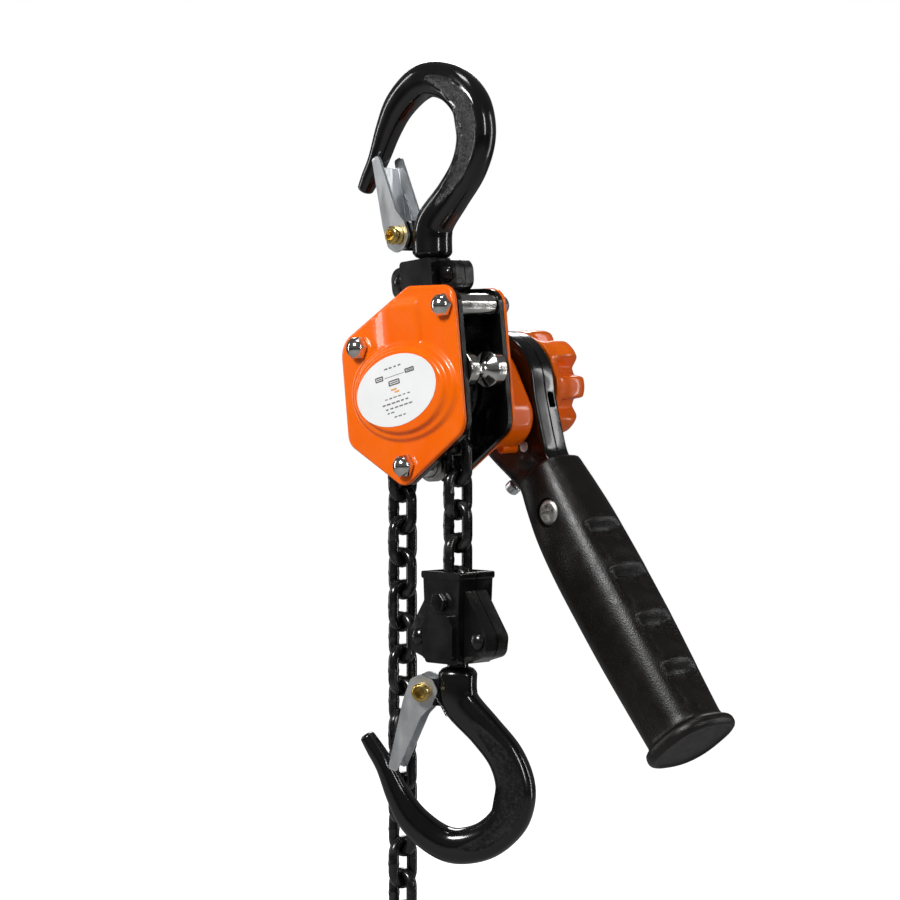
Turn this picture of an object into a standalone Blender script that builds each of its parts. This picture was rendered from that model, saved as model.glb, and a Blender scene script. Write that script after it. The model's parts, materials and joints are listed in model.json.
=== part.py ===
"""Small lever chain hoist: two hooks with spring latches, an open frame of two side plates,
a pocketed load sheave, a screw brake, a ratchet lever with its selector, and the load chain.

Lengths in this file are millimetres and MM turns them into Blender's metres. The origin is the
saddle of the top hook. +Z is up, the sheave's shaft lies along Y, the end cover faces -Y, the
hand wheel faces +Y, and the loaded strand of chain hangs on the +X side.
"""

import math

import bmesh
import bpy
from mathutils import Matrix, Vector

MM = 0.001

# Chain: 4 mm wire, 12 mm pitch.
WIRE_R = 2.0
PITCH = 12.0
LINK_BEND_R = 4.7  # centre line of a link's round end
LINKED = 0.1  # how far neighbouring links sink into each other where they are one solid
PIVOT_GAP = 0.35  # how far a strand is lifted off the separate link that it hangs from

# Sheave: four pockets, so a full turn takes eight links, one for each side of an octagon.
POCKETS = 4
LINK_ANGLE = 45.0
SHEAVE_REACH = PITCH / (2 * math.tan(math.radians(LINK_ANGLE / 2)))  # axis to link centre
FIRST_LINK = -10.4  # angle of the link where the loaded strand leaves the sheave

# Places measured from the shaft, in the plane across it.
SHAFT = (-1.3, 0.0, -106.6)  # from the top hook's saddle
ROLL = 6.0  # how far the hanging frame leans: its foot swings towards +X
LEVER_ANGLE = 36.9  # the lever's lean from straight down, towards +X
LOAD_X = SHEAVE_REACH
TAIL_X = -SHEAVE_REACH
LOAD_FIRST_Z = -2.6
TAIL_FIRST_Z = 2.7
LOAD_LINKS = 5
TAIL_LINKS = 16

# Frame: plates each side of the gap that the chain runs in.
GAP = 19.0
PLATE = 2.0
PLATE_CORNERS = (
    # x, z and corner radius, clockwise from the top
    (5.8, 35.6, 6),
    (29.2, 33.4, 6),
    (29.7, -17.7, 8),
    (-3.6, -36.3, 6),
    (-31.4, -18.0, 6),
    (-31.8, 19.2, 9),
)
COVER_CORNERS = (
    # the end cover stands a little above the plates
    (5.8, 36.9, 6),
    (29.2, 34.7, 6),
    (29.7, -17.7, 8),
    (-3.6, -36.3, 6),
    (-31.4, -18.0, 6),
    (-31.8, 19.6, 9),
)
STAYS = {"top": (24.2, 27.8), "left": (-21.4, 17.0), "bottom": (-1.4, -28.2)}
STAY_R = 2.5
SLEEVE_R = 4.4
ROLLER_X = 24.8
ROLLER_Z = 4.5
YOKE_X = 6.0
TOP_PIN_Z = 28.6
TOUCH = 0.3  # gap between pieces that rest on each other

# Depths along the shaft, from the middle of the gap.
FRONT_FACE = GAP / 2 + PLATE
COVER_RIM = 2.0
COVER_BOSS = 3.0
FLANGE = 1.0
REAR_FACE = GAP / 2 + PLATE
BRAKE_BACK = 32.0
HOUSING_FRONT = 32.6
HOUSING_SPLIT = 39.0
HOUSING_BACK = 45.4
WHEEL_FRONT = 46.2
WHEEL_BACK = 63.0

# Hooks: distances from the saddle towards the shank, and across the hook towards its back.
HOOK_SECTIONS = (
    # centre x, centre z, width in the hook's plane, thickness across it
    (0.0, 57.0, 14.0, 13.6),
    (0.0, 50.0, 14.0, 13.6),
    (2.2, 44.8, 13.5, 13.0),
    (10.4, 36.2, 12.8, 11.4),
    (17.8, 27.2, 13.4, 11.4),
    (21.4, 18.0, 14.4, 12.0),
    (21.2, 10.2, 15.2, 12.4),
    (18.5, 2.9, 14.4, 12.6),
    (10.6, -3.9, 14.0, 12.6),
    (0.4, -6.5, 13.2, 12.4),
    (-7.8, -4.4, 12.4, 11.6),
    (-16.6, 2.3, 11.4, 10.4),
    (-22.4, 11.0, 9.2, 9.2),
    (-27.4, 21.5, 7.0, 8.2),
    (-31.6, 28.2, 6.2, 7.4),
    (-34.6, 32.8, 5.0, 5.8),
)
HOOK_SHOULDER = 59.2
YOKE_FACE = 61.0
COLLAR_FROM = 65.0
COLLAR_TO = 69.0
NECK_R = 3.8
COLLAR_R = 5.6
LATCH_PIVOT = (-11.5, 50.5)
LATCH_FOOT = (-23.6, 21.6)
LATCH_HALF = 6.6  # half the channel's outer width
LATCH_SHEET = 1.2
BOTTOM_SADDLE_Z = -161.0  # from the shaft
BOTTOM_TURN = 30.0  # the bottom hook's swivel at rest
TOP_TURN = 2.0  # the top hook's

# Lever and grip, measured down the lever from the shaft.
HOUSING_R = 21.0
NECK_END = -38.4
TANG_HALF = 7.6
TANG_END = -104.0
GRIP_TOP = -38.8
GRIP_END = -158.0
GRIP_Y = 39.15
SCREW_Z = -57.0
SELECTOR_Z = -27.5
PAWL_Y = 40.4  # middle of the double pawl

BLACK_PAINT = ((0.012, 0.012, 0.013, 1), 0.22, 0.0)
ORANGE_PAINT = ((0.95, 0.24, 0.01, 1), 0.25, 0.0)
CHROME = ((0.78, 0.78, 0.76, 1), 0.12, 1.0)
STEEL = ((0.55, 0.55, 0.54, 1), 0.35, 1.0)
ZINC = ((0.72, 0.74, 0.76, 1), 0.4, 1.0)
YELLOW_ZINC = ((0.72, 0.55, 0.18, 1), 0.3, 1.0)
GRIP_PLASTIC = ((0.03, 0.026, 0.024, 1), 0.6, 0.0)
FRICTION = ((0.16, 0.12, 0.09, 1), 0.9, 0.0)
BRONZE = ((0.6, 0.4, 0.16, 1), 0.4, 1.0)


# ---------------------------------------------------------------- scene and materials


def clear_scene():
    for old in list(bpy.data.objects):
        bpy.data.objects.remove(old, do_unlink=True)


def new_collection(name):
    made = bpy.data.collections.new(name)
    bpy.context.scene.collection.children.link(made)
    return made


def material(name, finish):
    """A Principled material, made once for each name."""
    found = bpy.data.materials.get(name)
    if found:
        return found
    colour, roughness, metallic = finish
    made = bpy.data.materials.new(name)
    made.use_nodes = True
    shader = made.node_tree.nodes["Principled BSDF"]
    shader.inputs["Base Color"].default_value = colour
    shader.inputs["Roughness"].default_value = roughness
    shader.inputs["Metallic"].default_value = metallic
    made.diffuse_color = colour
    return made


def pivot(name, place, turn=(0.0, 0.0, 0.0), parent=None):
    """An empty that pieces hang from: place in millimetres, turn in degrees about X, Y and Z."""
    empty = bpy.data.objects.new(name, None)
    PARTS.objects.link(empty)
    empty.location = Vector(place) * MM
    empty.rotation_euler = [math.radians(angle) for angle in turn]
    empty.empty_display_size = 0.01
    empty.parent = parent
    return empty


# ---------------------------------------------------------------- outlines


def arc(centre, radius, start, stop, steps):
    """Points along an arc, angles in degrees from +X."""
    points = []
    for i in range(steps + 1):
        angle = math.radians(start + (stop - start) * i / steps)
        points.append((centre[0] + radius * math.cos(angle), centre[1] + radius * math.sin(angle)))
    return points


def circle(centre, radius, sides=24):
    return arc(centre, radius, 0, 360, sides)[:-1]


def rounded(corners, steps=3):
    """A closed outline from (x, z, radius) corners, each rounded by an arc."""
    points = []
    count = len(corners)
    for i, (x, z, radius) in enumerate(corners):
        here = Vector((x, z))
        before = (Vector(corners[i - 1][:2]) - here).normalized()
        after = (Vector(corners[(i + 1) % count][:2]) - here).normalized()
        half = before.angle(after) / 2
        centre = here + (before + after).normalized() * (radius / math.sin(half))
        first = here + before * (radius / math.tan(half)) - centre
        last = here + after * (radius / math.tan(half)) - centre
        start = math.atan2(first.y, first.x)
        sweep = (math.atan2(last.y, last.x) - start + math.pi) % (2 * math.pi) - math.pi
        for j in range(steps + 1):
            angle = start + sweep * j / steps
            points.append((centre.x + radius * math.cos(angle), centre.y + radius * math.sin(angle)))
    return points


def grown(corners, by):
    """The same (x, z, radius) corners moved outwards by an offset, or inwards by a negative one."""
    moved = []
    count = len(corners)
    turning = sum(
        corners[i - 1][0] * corners[i][1] - corners[i][0] * corners[i - 1][1] for i in range(count)
    )
    side = 1 if turning < 0 else -1
    for i, (x, z, radius) in enumerate(corners):
        before = (Vector((x, z)) - Vector(corners[i - 1][:2])).normalized()
        after = (Vector(corners[(i + 1) % count][:2]) - Vector((x, z))).normalized()
        normal_in = Vector((-before.y, before.x)) * side
        normal_out = Vector((-after.y, after.x)) * side
        middle = (normal_in + normal_out).normalized()
        reach = by / middle.dot(normal_in)
        moved.append((x + middle.x * reach, z + middle.y * reach, max(radius + by, 0.5)))
    return moved


def toothed(teeth, root, tip, start):
    """A ratchet wheel's outline: each tooth rises sharply, then runs down to the next one."""
    points = []
    step = 360 / teeth
    for i in range(teeth):
        for share, radius in ((0.0, root), (0.04, tip), (0.16, tip), (0.88, root)):
            angle = math.radians(start + (i + share) * step)
            points.append((radius * math.cos(angle), radius * math.sin(angle)))
    return points


def polar(radius, angle):
    """A point in the XZ plane at an angle in degrees from +X."""
    return (radius * math.cos(math.radians(angle)), radius * math.sin(math.radians(angle)))


# ---------------------------------------------------------------- solids


def finish(name, mesh, collection=None):
    """A mesh in millimetres becomes an object in metres with outward faces."""
    bm = bmesh.new()
    bm.from_mesh(mesh)
    bmesh.ops.remove_doubles(bm, verts=bm.verts, dist=0.0005)
    bmesh.ops.dissolve_degenerate(bm, edges=bm.edges, dist=0.0005)
    bmesh.ops.recalc_face_normals(bm, faces=bm.faces)
    bmesh.ops.scale(bm, vec=(MM, MM, MM), verts=bm.verts)
    bm.to_mesh(mesh)
    bm.free()
    mesh.name = name
    mesh.shade_smooth()
    mesh.set_sharp_from_angle(angle=math.radians(35))
    made = bpy.data.objects.new(name, mesh)
    (collection or PARTS).objects.link(made)
    return made


def evaluated_mesh(source):
    """The mesh that a curve or a modified object evaluates to; the source goes."""
    bpy.context.view_layer.update()
    graph = bpy.context.evaluated_depsgraph_get()
    mesh = bpy.data.meshes.new_from_object(source.evaluated_get(graph))
    mesh.transform(source.matrix_world)
    bpy.data.objects.remove(source, do_unlink=True)
    return mesh


def prism(name, outlines, low, high):
    """A flat outline in the XZ plane, with any holes as further outlines, from low to high in Y."""
    curve = bpy.data.curves.new(name, "CURVE")
    curve.dimensions = "2D"
    curve.fill_mode = "BOTH"
    curve.extrude = (high - low) / 2
    for points in outlines:
        spline = curve.splines.new("POLY")
        spline.points.add(len(points) - 1)
        for point, (x, z) in zip(spline.points, points, strict=True):
            point.co = (x, z, 0, 1)
        spline.use_cyclic_u = True
    source = bpy.data.objects.new(name, curve)
    PARTS.objects.link(source)
    source.rotation_euler = (math.pi / 2, 0, 0)
    source.location = (0, (low + high) / 2, 0)
    return finish(name, evaluated_mesh(source))


AXES = {
    "Y": Matrix.Rotation(-math.pi / 2, 4, "X"),
    "X": Matrix.Rotation(math.pi / 2, 4, "Y"),
    "Z": Matrix.Identity(4),
}


def turned(name, profile, axis="Y", at=(0.0, 0.0, 0.0), sides=20, ring=False):
    """A turned solid from (radius, height) points; a ring's profile is closed and off the axis."""
    profile_mesh = bpy.data.meshes.new(name)
    edges = [(i, i + 1) for i in range(len(profile) - 1)]
    if ring:
        edges.append((len(profile) - 1, 0))
    profile_mesh.from_pydata([(radius, 0, height) for radius, height in profile], edges, [])
    source = bpy.data.objects.new(name, profile_mesh)
    PARTS.objects.link(source)
    screw = source.modifiers.new("turn", "SCREW")
    screw.axis = "Z"
    screw.steps = sides
    screw.render_steps = sides
    screw.use_merge_vertices = True
    screw.merge_threshold = 0.0001
    source.matrix_world = Matrix.Translation(at) @ AXES[axis]
    return finish(name, evaluated_mesh(source))


def rod(name, radius, low, high, at=(0.0, 0.0), sides=16, axis="Y"):
    """A plain cylinder between two heights on its axis; at gives the other two coordinates."""
    place = {"Y": (at[0], 0, at[1]), "X": (0, at[0], at[1]), "Z": (at[0], at[1], 0)}[axis]
    bm = bmesh.new()
    bmesh.ops.create_cone(
        bm, cap_ends=True, segments=sides, radius1=radius, radius2=radius, depth=high - low
    )
    shift = Matrix.Translation((0, 0, (low + high) / 2))
    bmesh.ops.transform(bm, matrix=Matrix.Translation(place) @ AXES[axis] @ shift, verts=bm.verts)
    mesh = bpy.data.meshes.new(name)
    bm.to_mesh(mesh)
    bm.free()
    return finish(name, mesh)


def block(name, low, high):
    """A box between two corners."""
    bm = bmesh.new()
    bmesh.ops.create_cube(bm, size=1)
    size = [b - a for a, b in zip(low, high, strict=True)]
    middle = [(a + b) / 2 for a, b in zip(low, high, strict=True)]
    bmesh.ops.scale(bm, vec=size, verts=bm.verts)
    bmesh.ops.translate(bm, vec=middle, verts=bm.verts)
    mesh = bpy.data.meshes.new(name)
    bm.to_mesh(mesh)
    bm.free()
    return finish(name, mesh)


def loft(name, rings, closed=False):
    """Skin over rings of equal point counts; the ends are capped unless the loft closes on itself."""
    bm = bmesh.new()
    rows = [[bm.verts.new(point) for point in ring] for ring in rings]
    pairs = list(zip(rows, rows[1:]))
    if closed:
        pairs.append((rows[-1], rows[0]))
    for first, second in pairs:
        count = len(first)
        for i in range(count):
            j = (i + 1) % count
            bm.faces.new((first[i], first[j], second[j], second[i]))
    if not closed:
        bm.faces.new(rows[0])
        bm.faces.new(rows[-1])
    mesh = bpy.data.meshes.new(name)
    bm.to_mesh(mesh)
    bm.free()
    return finish(name, mesh)


def apply_boolean(piece, other, operation):
    """Cut or join with a helper object, which stays in the cutters' collection."""
    for collection in list(other.users_collection):
        collection.objects.unlink(other)
    CUTTERS.objects.link(other)
    other.hide_render = True
    other.display_type = "WIRE"
    other.parent = piece
    step = piece.modifiers.new(f"{operation.lower()} {other.name}", "BOOLEAN")
    step.operation = operation
    step.object = other
    step.solver = "EXACT"


def cut(piece, *others):
    for other in others:
        apply_boolean(piece, other, "DIFFERENCE")
    return piece


def join(piece, *others):
    for other in others:
        apply_boolean(piece, other, "UNION")
    return piece


def place(piece, parent, finish_name, look):
    """Hang a finished piece from its pivot and give it its material."""
    piece.parent = parent
    piece.data.materials.clear()
    piece.data.materials.append(material(finish_name, look))
    return piece


# ---------------------------------------------------------------- chain


def link_rings(centre, along, across, sides=6, bend_steps=4):
    """The rings of one link: a round wire bent to a stadium with its long axis along the strand."""
    along = Vector(along).normalized()
    across = Vector(across).normalized()
    normal = along.cross(across)
    straight = PITCH / 2 + WIRE_R - LINK_BEND_R
    rings = []
    for end in (1, -1):
        for i in range(bend_steps + 1):
            angle = math.pi * i / bend_steps
            outward = across * (math.cos(angle) * end) + along * (math.sin(angle) * end)
            middle = Vector(centre) + along * (straight * end) + outward * LINK_BEND_R
            ring = []
            for k in range(sides):
                turn = 2 * math.pi * k / sides
                ring.append(middle + (outward * math.cos(turn) + normal * math.sin(turn)) * (WIRE_R + LINKED))
            rings.append(ring)
    return rings


def link(name, centre, along, across):
    return loft(name, link_rings(centre, along, across), closed=True)


def strand(name, x, first_z, count, standing_first):
    """A straight run of links, downwards, joined into one solid."""
    pieces = []
    for i in range(count):
        standing = standing_first == (i % 2 == 0)
        across = (1, 0, 0) if standing else (0, 1, 0)
        pieces.append(link(f"{name}_link_{i + 1}", (x, 0, first_z - i * PITCH), (0, 0, -1), across))
    pieces[0].name = name
    return join(*pieces)


def sheave_wrap(name):
    """The links over the sheave and the first two of each strand below it, as one solid."""
    pieces = []
    for i in range(1, 4):
        angle = math.radians(FIRST_LINK + i * LINK_ANGLE)
        outward = Vector((math.cos(angle), 0, math.sin(angle)))
        along = Vector((-math.sin(angle), 0, math.cos(angle)))
        across = (0, 1, 0) if i % 2 else outward
        pieces.append(link(f"wrap_link_{i}", outward * SHEAVE_REACH, along, across))
    for side, x, first_z in (("load", LOAD_X, LOAD_FIRST_Z), ("tail", TAIL_X, TAIL_FIRST_Z)):
        for i in range(2):
            across = (1, 0, 0) if i == 0 else (0, 1, 0)
            pieces.append(link(f"{side}_upper_{i}", (x, 0, first_z - i * PITCH), (0, 0, -1), across))
    pieces[0].name = name
    return join(*pieces)


# ---------------------------------------------------------------- hooks


def oval(centre, across, width, thickness, sides=10):
    """A ring in the plane of `across` and Y, with slightly flattened flanks."""
    points = []
    for k in range(sides):
        turn = 2 * math.pi * (k + 0.5) / sides
        c, s = math.cos(turn), math.sin(turn)
        flat = (abs(c) ** 3 + abs(s) ** 3) ** (-1 / 3)
        reach = (1 + flat) / 2
        side = Vector((across[0], 0, across[1])) * (c * reach * width / 2)
        points.append(Vector((centre[0], 0, centre[1])) + side + Vector((0, s * reach * thickness / 2, 0)))
    return points


def hook(name):
    """Forged hook with its saddle at the origin and its shank upwards, up to the swivel collar."""
    rings = []
    for z, radius in (
        (COLLAR_TO, COLLAR_R),
        (COLLAR_FROM, COLLAR_R),
        (COLLAR_FROM, NECK_R),
        (HOOK_SHOULDER, NECK_R),
        (HOOK_SHOULDER, 4.9),
    ):
        rings.append(oval((0, z), (1, 0), radius * 2, radius * 2))
    for i, (x, z, width, thickness) in enumerate(HOOK_SECTIONS):
        ahead = Vector(HOOK_SECTIONS[min(i + 1, len(HOOK_SECTIONS) - 1)][:2])
        behind = Vector(HOOK_SECTIONS[max(i - 1, 0)][:2])
        run = (ahead - behind).normalized()
        rings.append(oval((x, z), (-run.y, run.x), width, thickness))
    body = loft(name, rings)
    x, z = LATCH_PIVOT
    lug = prism(f"{name}_lug", [rounded([(x - 4.6, z + 4.6, 4.4), (0, z + 4.6, 0.5),
                                         (0, z - 5.6, 0.5), (x - 4.6, z - 4.6, 4.4)])], -4.6, 4.6)
    join(body, lug)
    cut(body, rod(f"{name}_latch_hole", 2.3, -9, 9, LATCH_PIVOT, 12))
    return body


def latch(name):
    """Pressed channel: two flanges on the pivot, joined by a web on the outer side."""
    x0, z0 = LATCH_PIVOT
    x1, z1 = LATCH_FOOT
    run = Vector((x1 - x0, z1 - z0)).normalized()
    out = Vector((run.y, -run.x))  # towards the hook's outside

    def at(down, side):
        spot = Vector((x0, z0)) + run * down + out * side
        return (spot.x, spot.y)

    length = (Vector(LATCH_FOOT) - Vector(LATCH_PIVOT)).length
    flank = [at(-5.6, 3.4), at(-5.6, 0), at(-4.0, -3.8), at(0.0, -5.2), at(4.2, -4.4), at(9, -2.6),
             at(length - 1.5, -2.4), at(length, -1.4), at(length, 1.2), at(length - 1, 1.8), at(6, 6.2), at(-2.4, 6.4)]
    body = prism(name, [flank], -LATCH_HALF, LATCH_HALF)
    inner = LATCH_HALF - LATCH_SHEET
    open_end = length - 3.4
    hollow = [at(-9, 5.2), at(-9, -9), at(length + 4, -9), at(length + 4, 9), at(open_end, 9),
              at(open_end, 1.0), at(6, 5.0)]
    cut(body, prism(f"{name}_hollow", [hollow], -inner, inner))
    cut(body, rod(f"{name}_hole", 2.15, -9, 9, LATCH_PIVOT, 12))
    return body


def hex_outline(centre, across_corners, turn=0.0):
    return arc(centre, across_corners / 2, turn, turn + 360, 6)[:-1]


def hook_set(prefix, parent, head):
    """A hook with its latch, bolt, nut and spring; head is the side of the bolt's head, -1 or 1."""
    place(hook(f"{prefix}_hook"), parent, "black_paint", BLACK_PAINT)
    place(latch(f"{prefix}_latch"), parent, "zinc", ZINC)
    x, z = LATCH_PIVOT
    face = LATCH_HALF + TOUCH
    profile = [(0, -face - 3.6), (2.9, -face - 3.6), (3.4, -face - 3.0), (3.4, -face), (2.0, -face),
               (2.0, face + 4.2), (0, face + 4.2)]
    socket = (-face - 4.5, -face - 1.6)
    seat = (face, face + 3.2)
    if head > 0:
        profile = [(r, -y) for r, y in reversed(profile)]
        socket = (-socket[1], -socket[0])
        seat = (-seat[1], -seat[0])
    bolt = turned(f"{prefix}_latch_bolt", profile, at=(x, 0, z), sides=14)
    cut(bolt, prism(f"{prefix}_socket", [hex_outline((x, z), 3.4)], *socket))
    place(bolt, parent, "yellow_zinc", YELLOW_ZINC)
    nut = prism(f"{prefix}_latch_nut", [hex_outline((x, z), 7.8), circle((x, z), 2.2, 12)], *seat)
    place(nut, parent, "yellow_zinc", YELLOW_ZINC)
    place(latch_spring(f"{prefix}_latch_spring"), parent, "spring_steel", STEEL)


def wire_path(name, points, radius, resolution=1):
    """A round wire along points, as a mesh."""
    curve = bpy.data.curves.new(name, "CURVE")
    curve.dimensions = "3D"
    curve.bevel_depth = radius
    curve.bevel_resolution = resolution
    curve.use_fill_caps = True
    spline = curve.splines.new("POLY")
    spline.points.add(len(points) - 1)
    for point, (x, y, z) in zip(spline.points, points, strict=True):
        point.co = (x, y, z, 1)
    source = bpy.data.objects.new(name, curve)
    PARTS.objects.link(source)
    return finish(name, evaluated_mesh(source))


def coil_points(at, radius, low, high, turns, start, steps=12):
    """Points of a coil about the Y axis through at=(x, z)."""
    points = []
    total = int(turns * steps)
    for i in range(total + 1):
        angle = math.radians(start) + 2 * math.pi * i / steps
        y = low + (high - low) * i / total
        points.append((at[0] + radius * math.cos(angle), y, at[1] + radius * math.sin(angle)))
    return points


def latch_spring(name):
    """Torsion spring beside the hook's lug: one leg on the hook's shank, one inside the latch."""
    x, z = LATCH_PIVOT
    points = [(-2.9, -5.05, 41.6), (x + 3.1, -5.05, z - 1.0)]
    points += coil_points((x, z), 3.0, -5.0, -5.0, 0.72, 0, 12)[1:]
    foot = Vector(LATCH_FOOT) - Vector(LATCH_PIVOT)
    end = Vector(LATCH_PIVOT) + foot * 0.55 + Vector((-1.0, 0))
    points.append((end.x, -5.0, end.y))
    return wire_path(name, points, 0.3)


# ---------------------------------------------------------------- yokes


def yoke_half(name, side, spec):
    """One pressed half of a hook yoke: side is -1 for the front half and +1 for the rear."""
    centre = spec["x"]
    depth = spec["ear_depth"]
    shell = prism(name, [rounded([(centre + x, z, r) for x, z, r in spec["ears"]])], -depth, depth)
    for i, (outline, depth) in enumerate(spec["bulges"]):
        moved = rounded([(centre + x, z, r) for x, z, r in outline])
        join(shell, prism(f"{name}_bulge_{i}", [moved], -depth, depth))
    for i, (low, high) in enumerate(spec["hollows"]):
        low = (centre + low[0], low[1], low[2])
        high = (centre + high[0], high[1], high[2])
        cut(shell, block(f"{name}_hollow_{i}", low, high))
    neck_x, neck_low, neck_high = spec["neck"]
    cut(shell, rod(f"{name}_neck", NECK_R + 0.8, neck_low, neck_high, (neck_x, 0), 16, "Z"))
    x, z, radius = spec["pin"]
    cut(shell, rod(f"{name}_pin_hole", radius, -16, 16, (centre + x, z), 16))
    for i, (x, z) in enumerate(spec["rivets"]):
        cut(shell, rod(f"{name}_rivet_hole_{i}", RIVET_R + 0.3, -16, 16, (centre + x, z), 12))
    away = (-PARTING, 20) if side < 0 else (-20, PARTING)
    cut(shell, block(f"{name}_other_half", (centre - 30, away[0], -130), (centre + 30, away[1], 60)))
    return shell


PARTING = 0.2
RIVET_R = 1.7
RIVET_HEAD_R = 3.1


def rivet(name, at, face):
    """A round-headed rivet through both halves of a yoke."""
    grip = face + TOUCH
    profile = [(0, -grip - 1.9), (1.9, -grip - 1.5), (RIVET_HEAD_R, -grip), (RIVET_R, -grip)]
    profile += [(r, -y) for r, y in reversed(profile)]
    return turned(name, profile, at=(at[0], 0, at[1]), sides=12)


TOP_YOKE = {
    "x": YOKE_X,
    "ears": [(-17.8, 44.6, 4.5), (-6, 46.2, 2), (6, 46.2, 2), (16.6, 45.0, 4.5), (16.2, 34.8, 4.0),
             (6, 32, 2), (-6, 32, 2), (-17.4, 34.2, 4.0)],
    "ear_depth": 4.5,
    "bulges": [
        ([(-8.2, 46.5, 1.5), (8.2, 46.5, 1.5), (8.2, 26.5, 3.5), (5.5, 22.8, 3.2), (-5.5, 22.8, 3.2), (-8.2, 26.5, 3.5)], 9.0),
    ],
    "hollows": [((-6.9, -7.3, 35.0), (6.9, 7.3, 42.7))],
    "neck": (YOKE_X - 0.05, 40, 50),
    "pin": (0, TOP_PIN_Z, 3.2),
    "rivets": [(-12.8, 39.8), (11.9, 40.0)],
}

BLOCK_TOP = -66.5
BLOCK_FOOT = BOTTOM_SADDLE_Z + YOKE_FACE
CHAIN_PIN_Z = -77.5
BOTTOM_YOKE = {
    "x": LOAD_X,
    "ears": [(-8.7, -72.7, 1), (8.7, -72.7, 1), (20.4, -89.4, 4), (19.4, -96.5, 4), (9, -99.6, 2),
             (-9, -99.6, 2), (-18.6, -96.5, 4), (-19.4, -89, 4)],
    "ear_depth": 5.6,
    "bulges": [
        ([(-9.9, BLOCK_TOP, 0.8), (9.9, BLOCK_TOP, 0.8), (9.9, -69.2, 1.0), (-9.9, -69.2, 1.0)], 9.1),
        ([(-9.4, -67.5, 0.5), (9.4, -67.5, 0.5), (8.8, -79, 2), (8.6, -100, 1.6), (-8.6, -100, 1.6), (-8.8, -79, 2)], 8.6),
        ([(-5.2, -81.9, 1.5), (5.2, -81.9, 1.5), (7.7, -86.3, 2), (7.7, -98.4, 1.8), (-7.7, -98.4, 1.8), (-7.7, -86.3, 2)], 10.8),
    ],
    "hollows": [((-8.3, -7.4, -71.5), (8.3, 7.4, -60)), ((-7.5, -7.3, -88.2), (7.5, 7.3, -61)),
                ((-6.9, -7.2, -96.6), (6.9, 7.2, -90.4))],
    "neck": (LOAD_X, -104, -95),
    "pin": (0, CHAIN_PIN_Z, 2.6),
    "rivets": [(-14.8, -91.0), (15.6, -91.0)],
}


def top_yoke(parent):
    for side, name in ((-1, "top_yoke_front"), (1, "top_yoke_rear")):
        place(yoke_half(name, side, TOP_YOKE), parent, "black_paint", BLACK_PAINT)
    for side, (x, z) in zip(("left", "right"), TOP_YOKE["rivets"], strict=True):
        piece = rivet(f"top_yoke_rivet_{side}", (YOKE_X + x, z), TOP_YOKE["ear_depth"])
        place(piece, parent, "black_paint", BLACK_PAINT)


def bottom_block(parent):
    for side, name in ((-1, "bottom_yoke_front"), (1, "bottom_yoke_rear")):
        place(yoke_half(name, side, BOTTOM_YOKE), parent, "black_paint", BLACK_PAINT)
    for side, (x, z) in zip(("left", "right"), BOTTOM_YOKE["rivets"], strict=True):
        piece = rivet(f"bottom_yoke_rivet_{side}", (LOAD_X + x, z), BOTTOM_YOKE["ear_depth"])
        place(piece, parent, "black_paint", BLACK_PAINT)
    face = 8.6 + TOUCH
    at = (LOAD_X, 0, CHAIN_PIN_Z)
    pin = turned(
        "chain_pin",
        [(0, -face - 2.0), (2.7, -face - 2.0), (3.2, -face - 1.5), (3.2, -face), (2.3, -face),
         (2.3, face), (3.2, face), (3.2, face + 1.5), (2.7, face + 2.0), (0, face + 2.0)],
        at=at, sides=14,
    )
    place(pin, parent, "black_paint", BLACK_PAINT)


# ---------------------------------------------------------------- frame


def plate_holes(bore):
    holes = [circle((0, 0), bore, 24), circle((YOKE_X, TOP_PIN_Z), 3.2, 14)]
    holes += [circle(at, STAY_R + TOUCH, 12) for at in STAYS.values()]
    holes += [circle((x, ROLLER_Z), 2.3, 12) for x in (ROLLER_X, -ROLLER_X)]
    return holes


def side_plates(parent):
    outline = rounded(PLATE_CORNERS)
    inside = GAP / 2
    front = prism("front_side_plate", [outline, *plate_holes(8.2)], -inside - PLATE, -inside)
    rear = prism("rear_side_plate", [outline, *plate_holes(9.2)], inside, inside + PLATE)
    for plate in (front, rear):
        place(plate, parent, "black_paint", BLACK_PAINT)


def end_cover(parent):
    """Pressed cover: a flat rim, an oval boss over the shaft's end, and a low step above it."""
    back = -FRONT_FACE - TOUCH
    rim_face = back - COVER_RIM
    cover = prism("end_cover", [rounded(COVER_CORNERS)], rim_face, back)
    boss = [oval_ring(0.8, -1.0, 27.6 - inset, 18.6 - inset, y) for inset, y in
            ((0, rim_face + 0.6), (0.6, rim_face - 1.2), (2.6, rim_face - COVER_BOSS + 0.5), (4.4, rim_face - COVER_BOSS))]
    join(cover, loft("end_cover_boss", boss))
    step_corners = [(6.4, 34.0, 3), (11.6, 33.2, 3), (12.4, 9, 1), (-13.6, 5, 1), (-14.6, 24.4, 3)]
    join(cover, prism("end_cover_step", [rounded(step_corners)], rim_face - 1.1, rim_face + 0.5))
    hollow = [oval_ring(0.8, -1.0, 26.0 - inset, 17.0 - inset, y) for inset, y in
              ((0, back + 1.0), (0.4, rim_face - 0.4), (3.6, rim_face - COVER_BOSS + 1.5))]
    cut(cover, loft("end_cover_hollow", hollow))
    for side, (x, z) in STAYS.items():
        cut(cover, rod(f"end_cover_hole_{side}", STAY_R + TOUCH, rim_face - 3, back + 2, (x, z), 12))
    place(cover, parent, "orange_paint", ORANGE_PAINT)


def oval_ring(x, z, half_x, half_z, y, sides=28):
    return [
        Vector((x + half_x * math.cos(2 * math.pi * k / sides), y, z + half_z * math.sin(2 * math.pi * k / sides)))
        for k in range(sides)
    ]


LOBE = (11.0, -12.0, 12.0)  # the swelling of the brake cover over the brake pawl: x, z, radius
DRUM_R = 17.4
DRUM_WALL = 1.5


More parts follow.
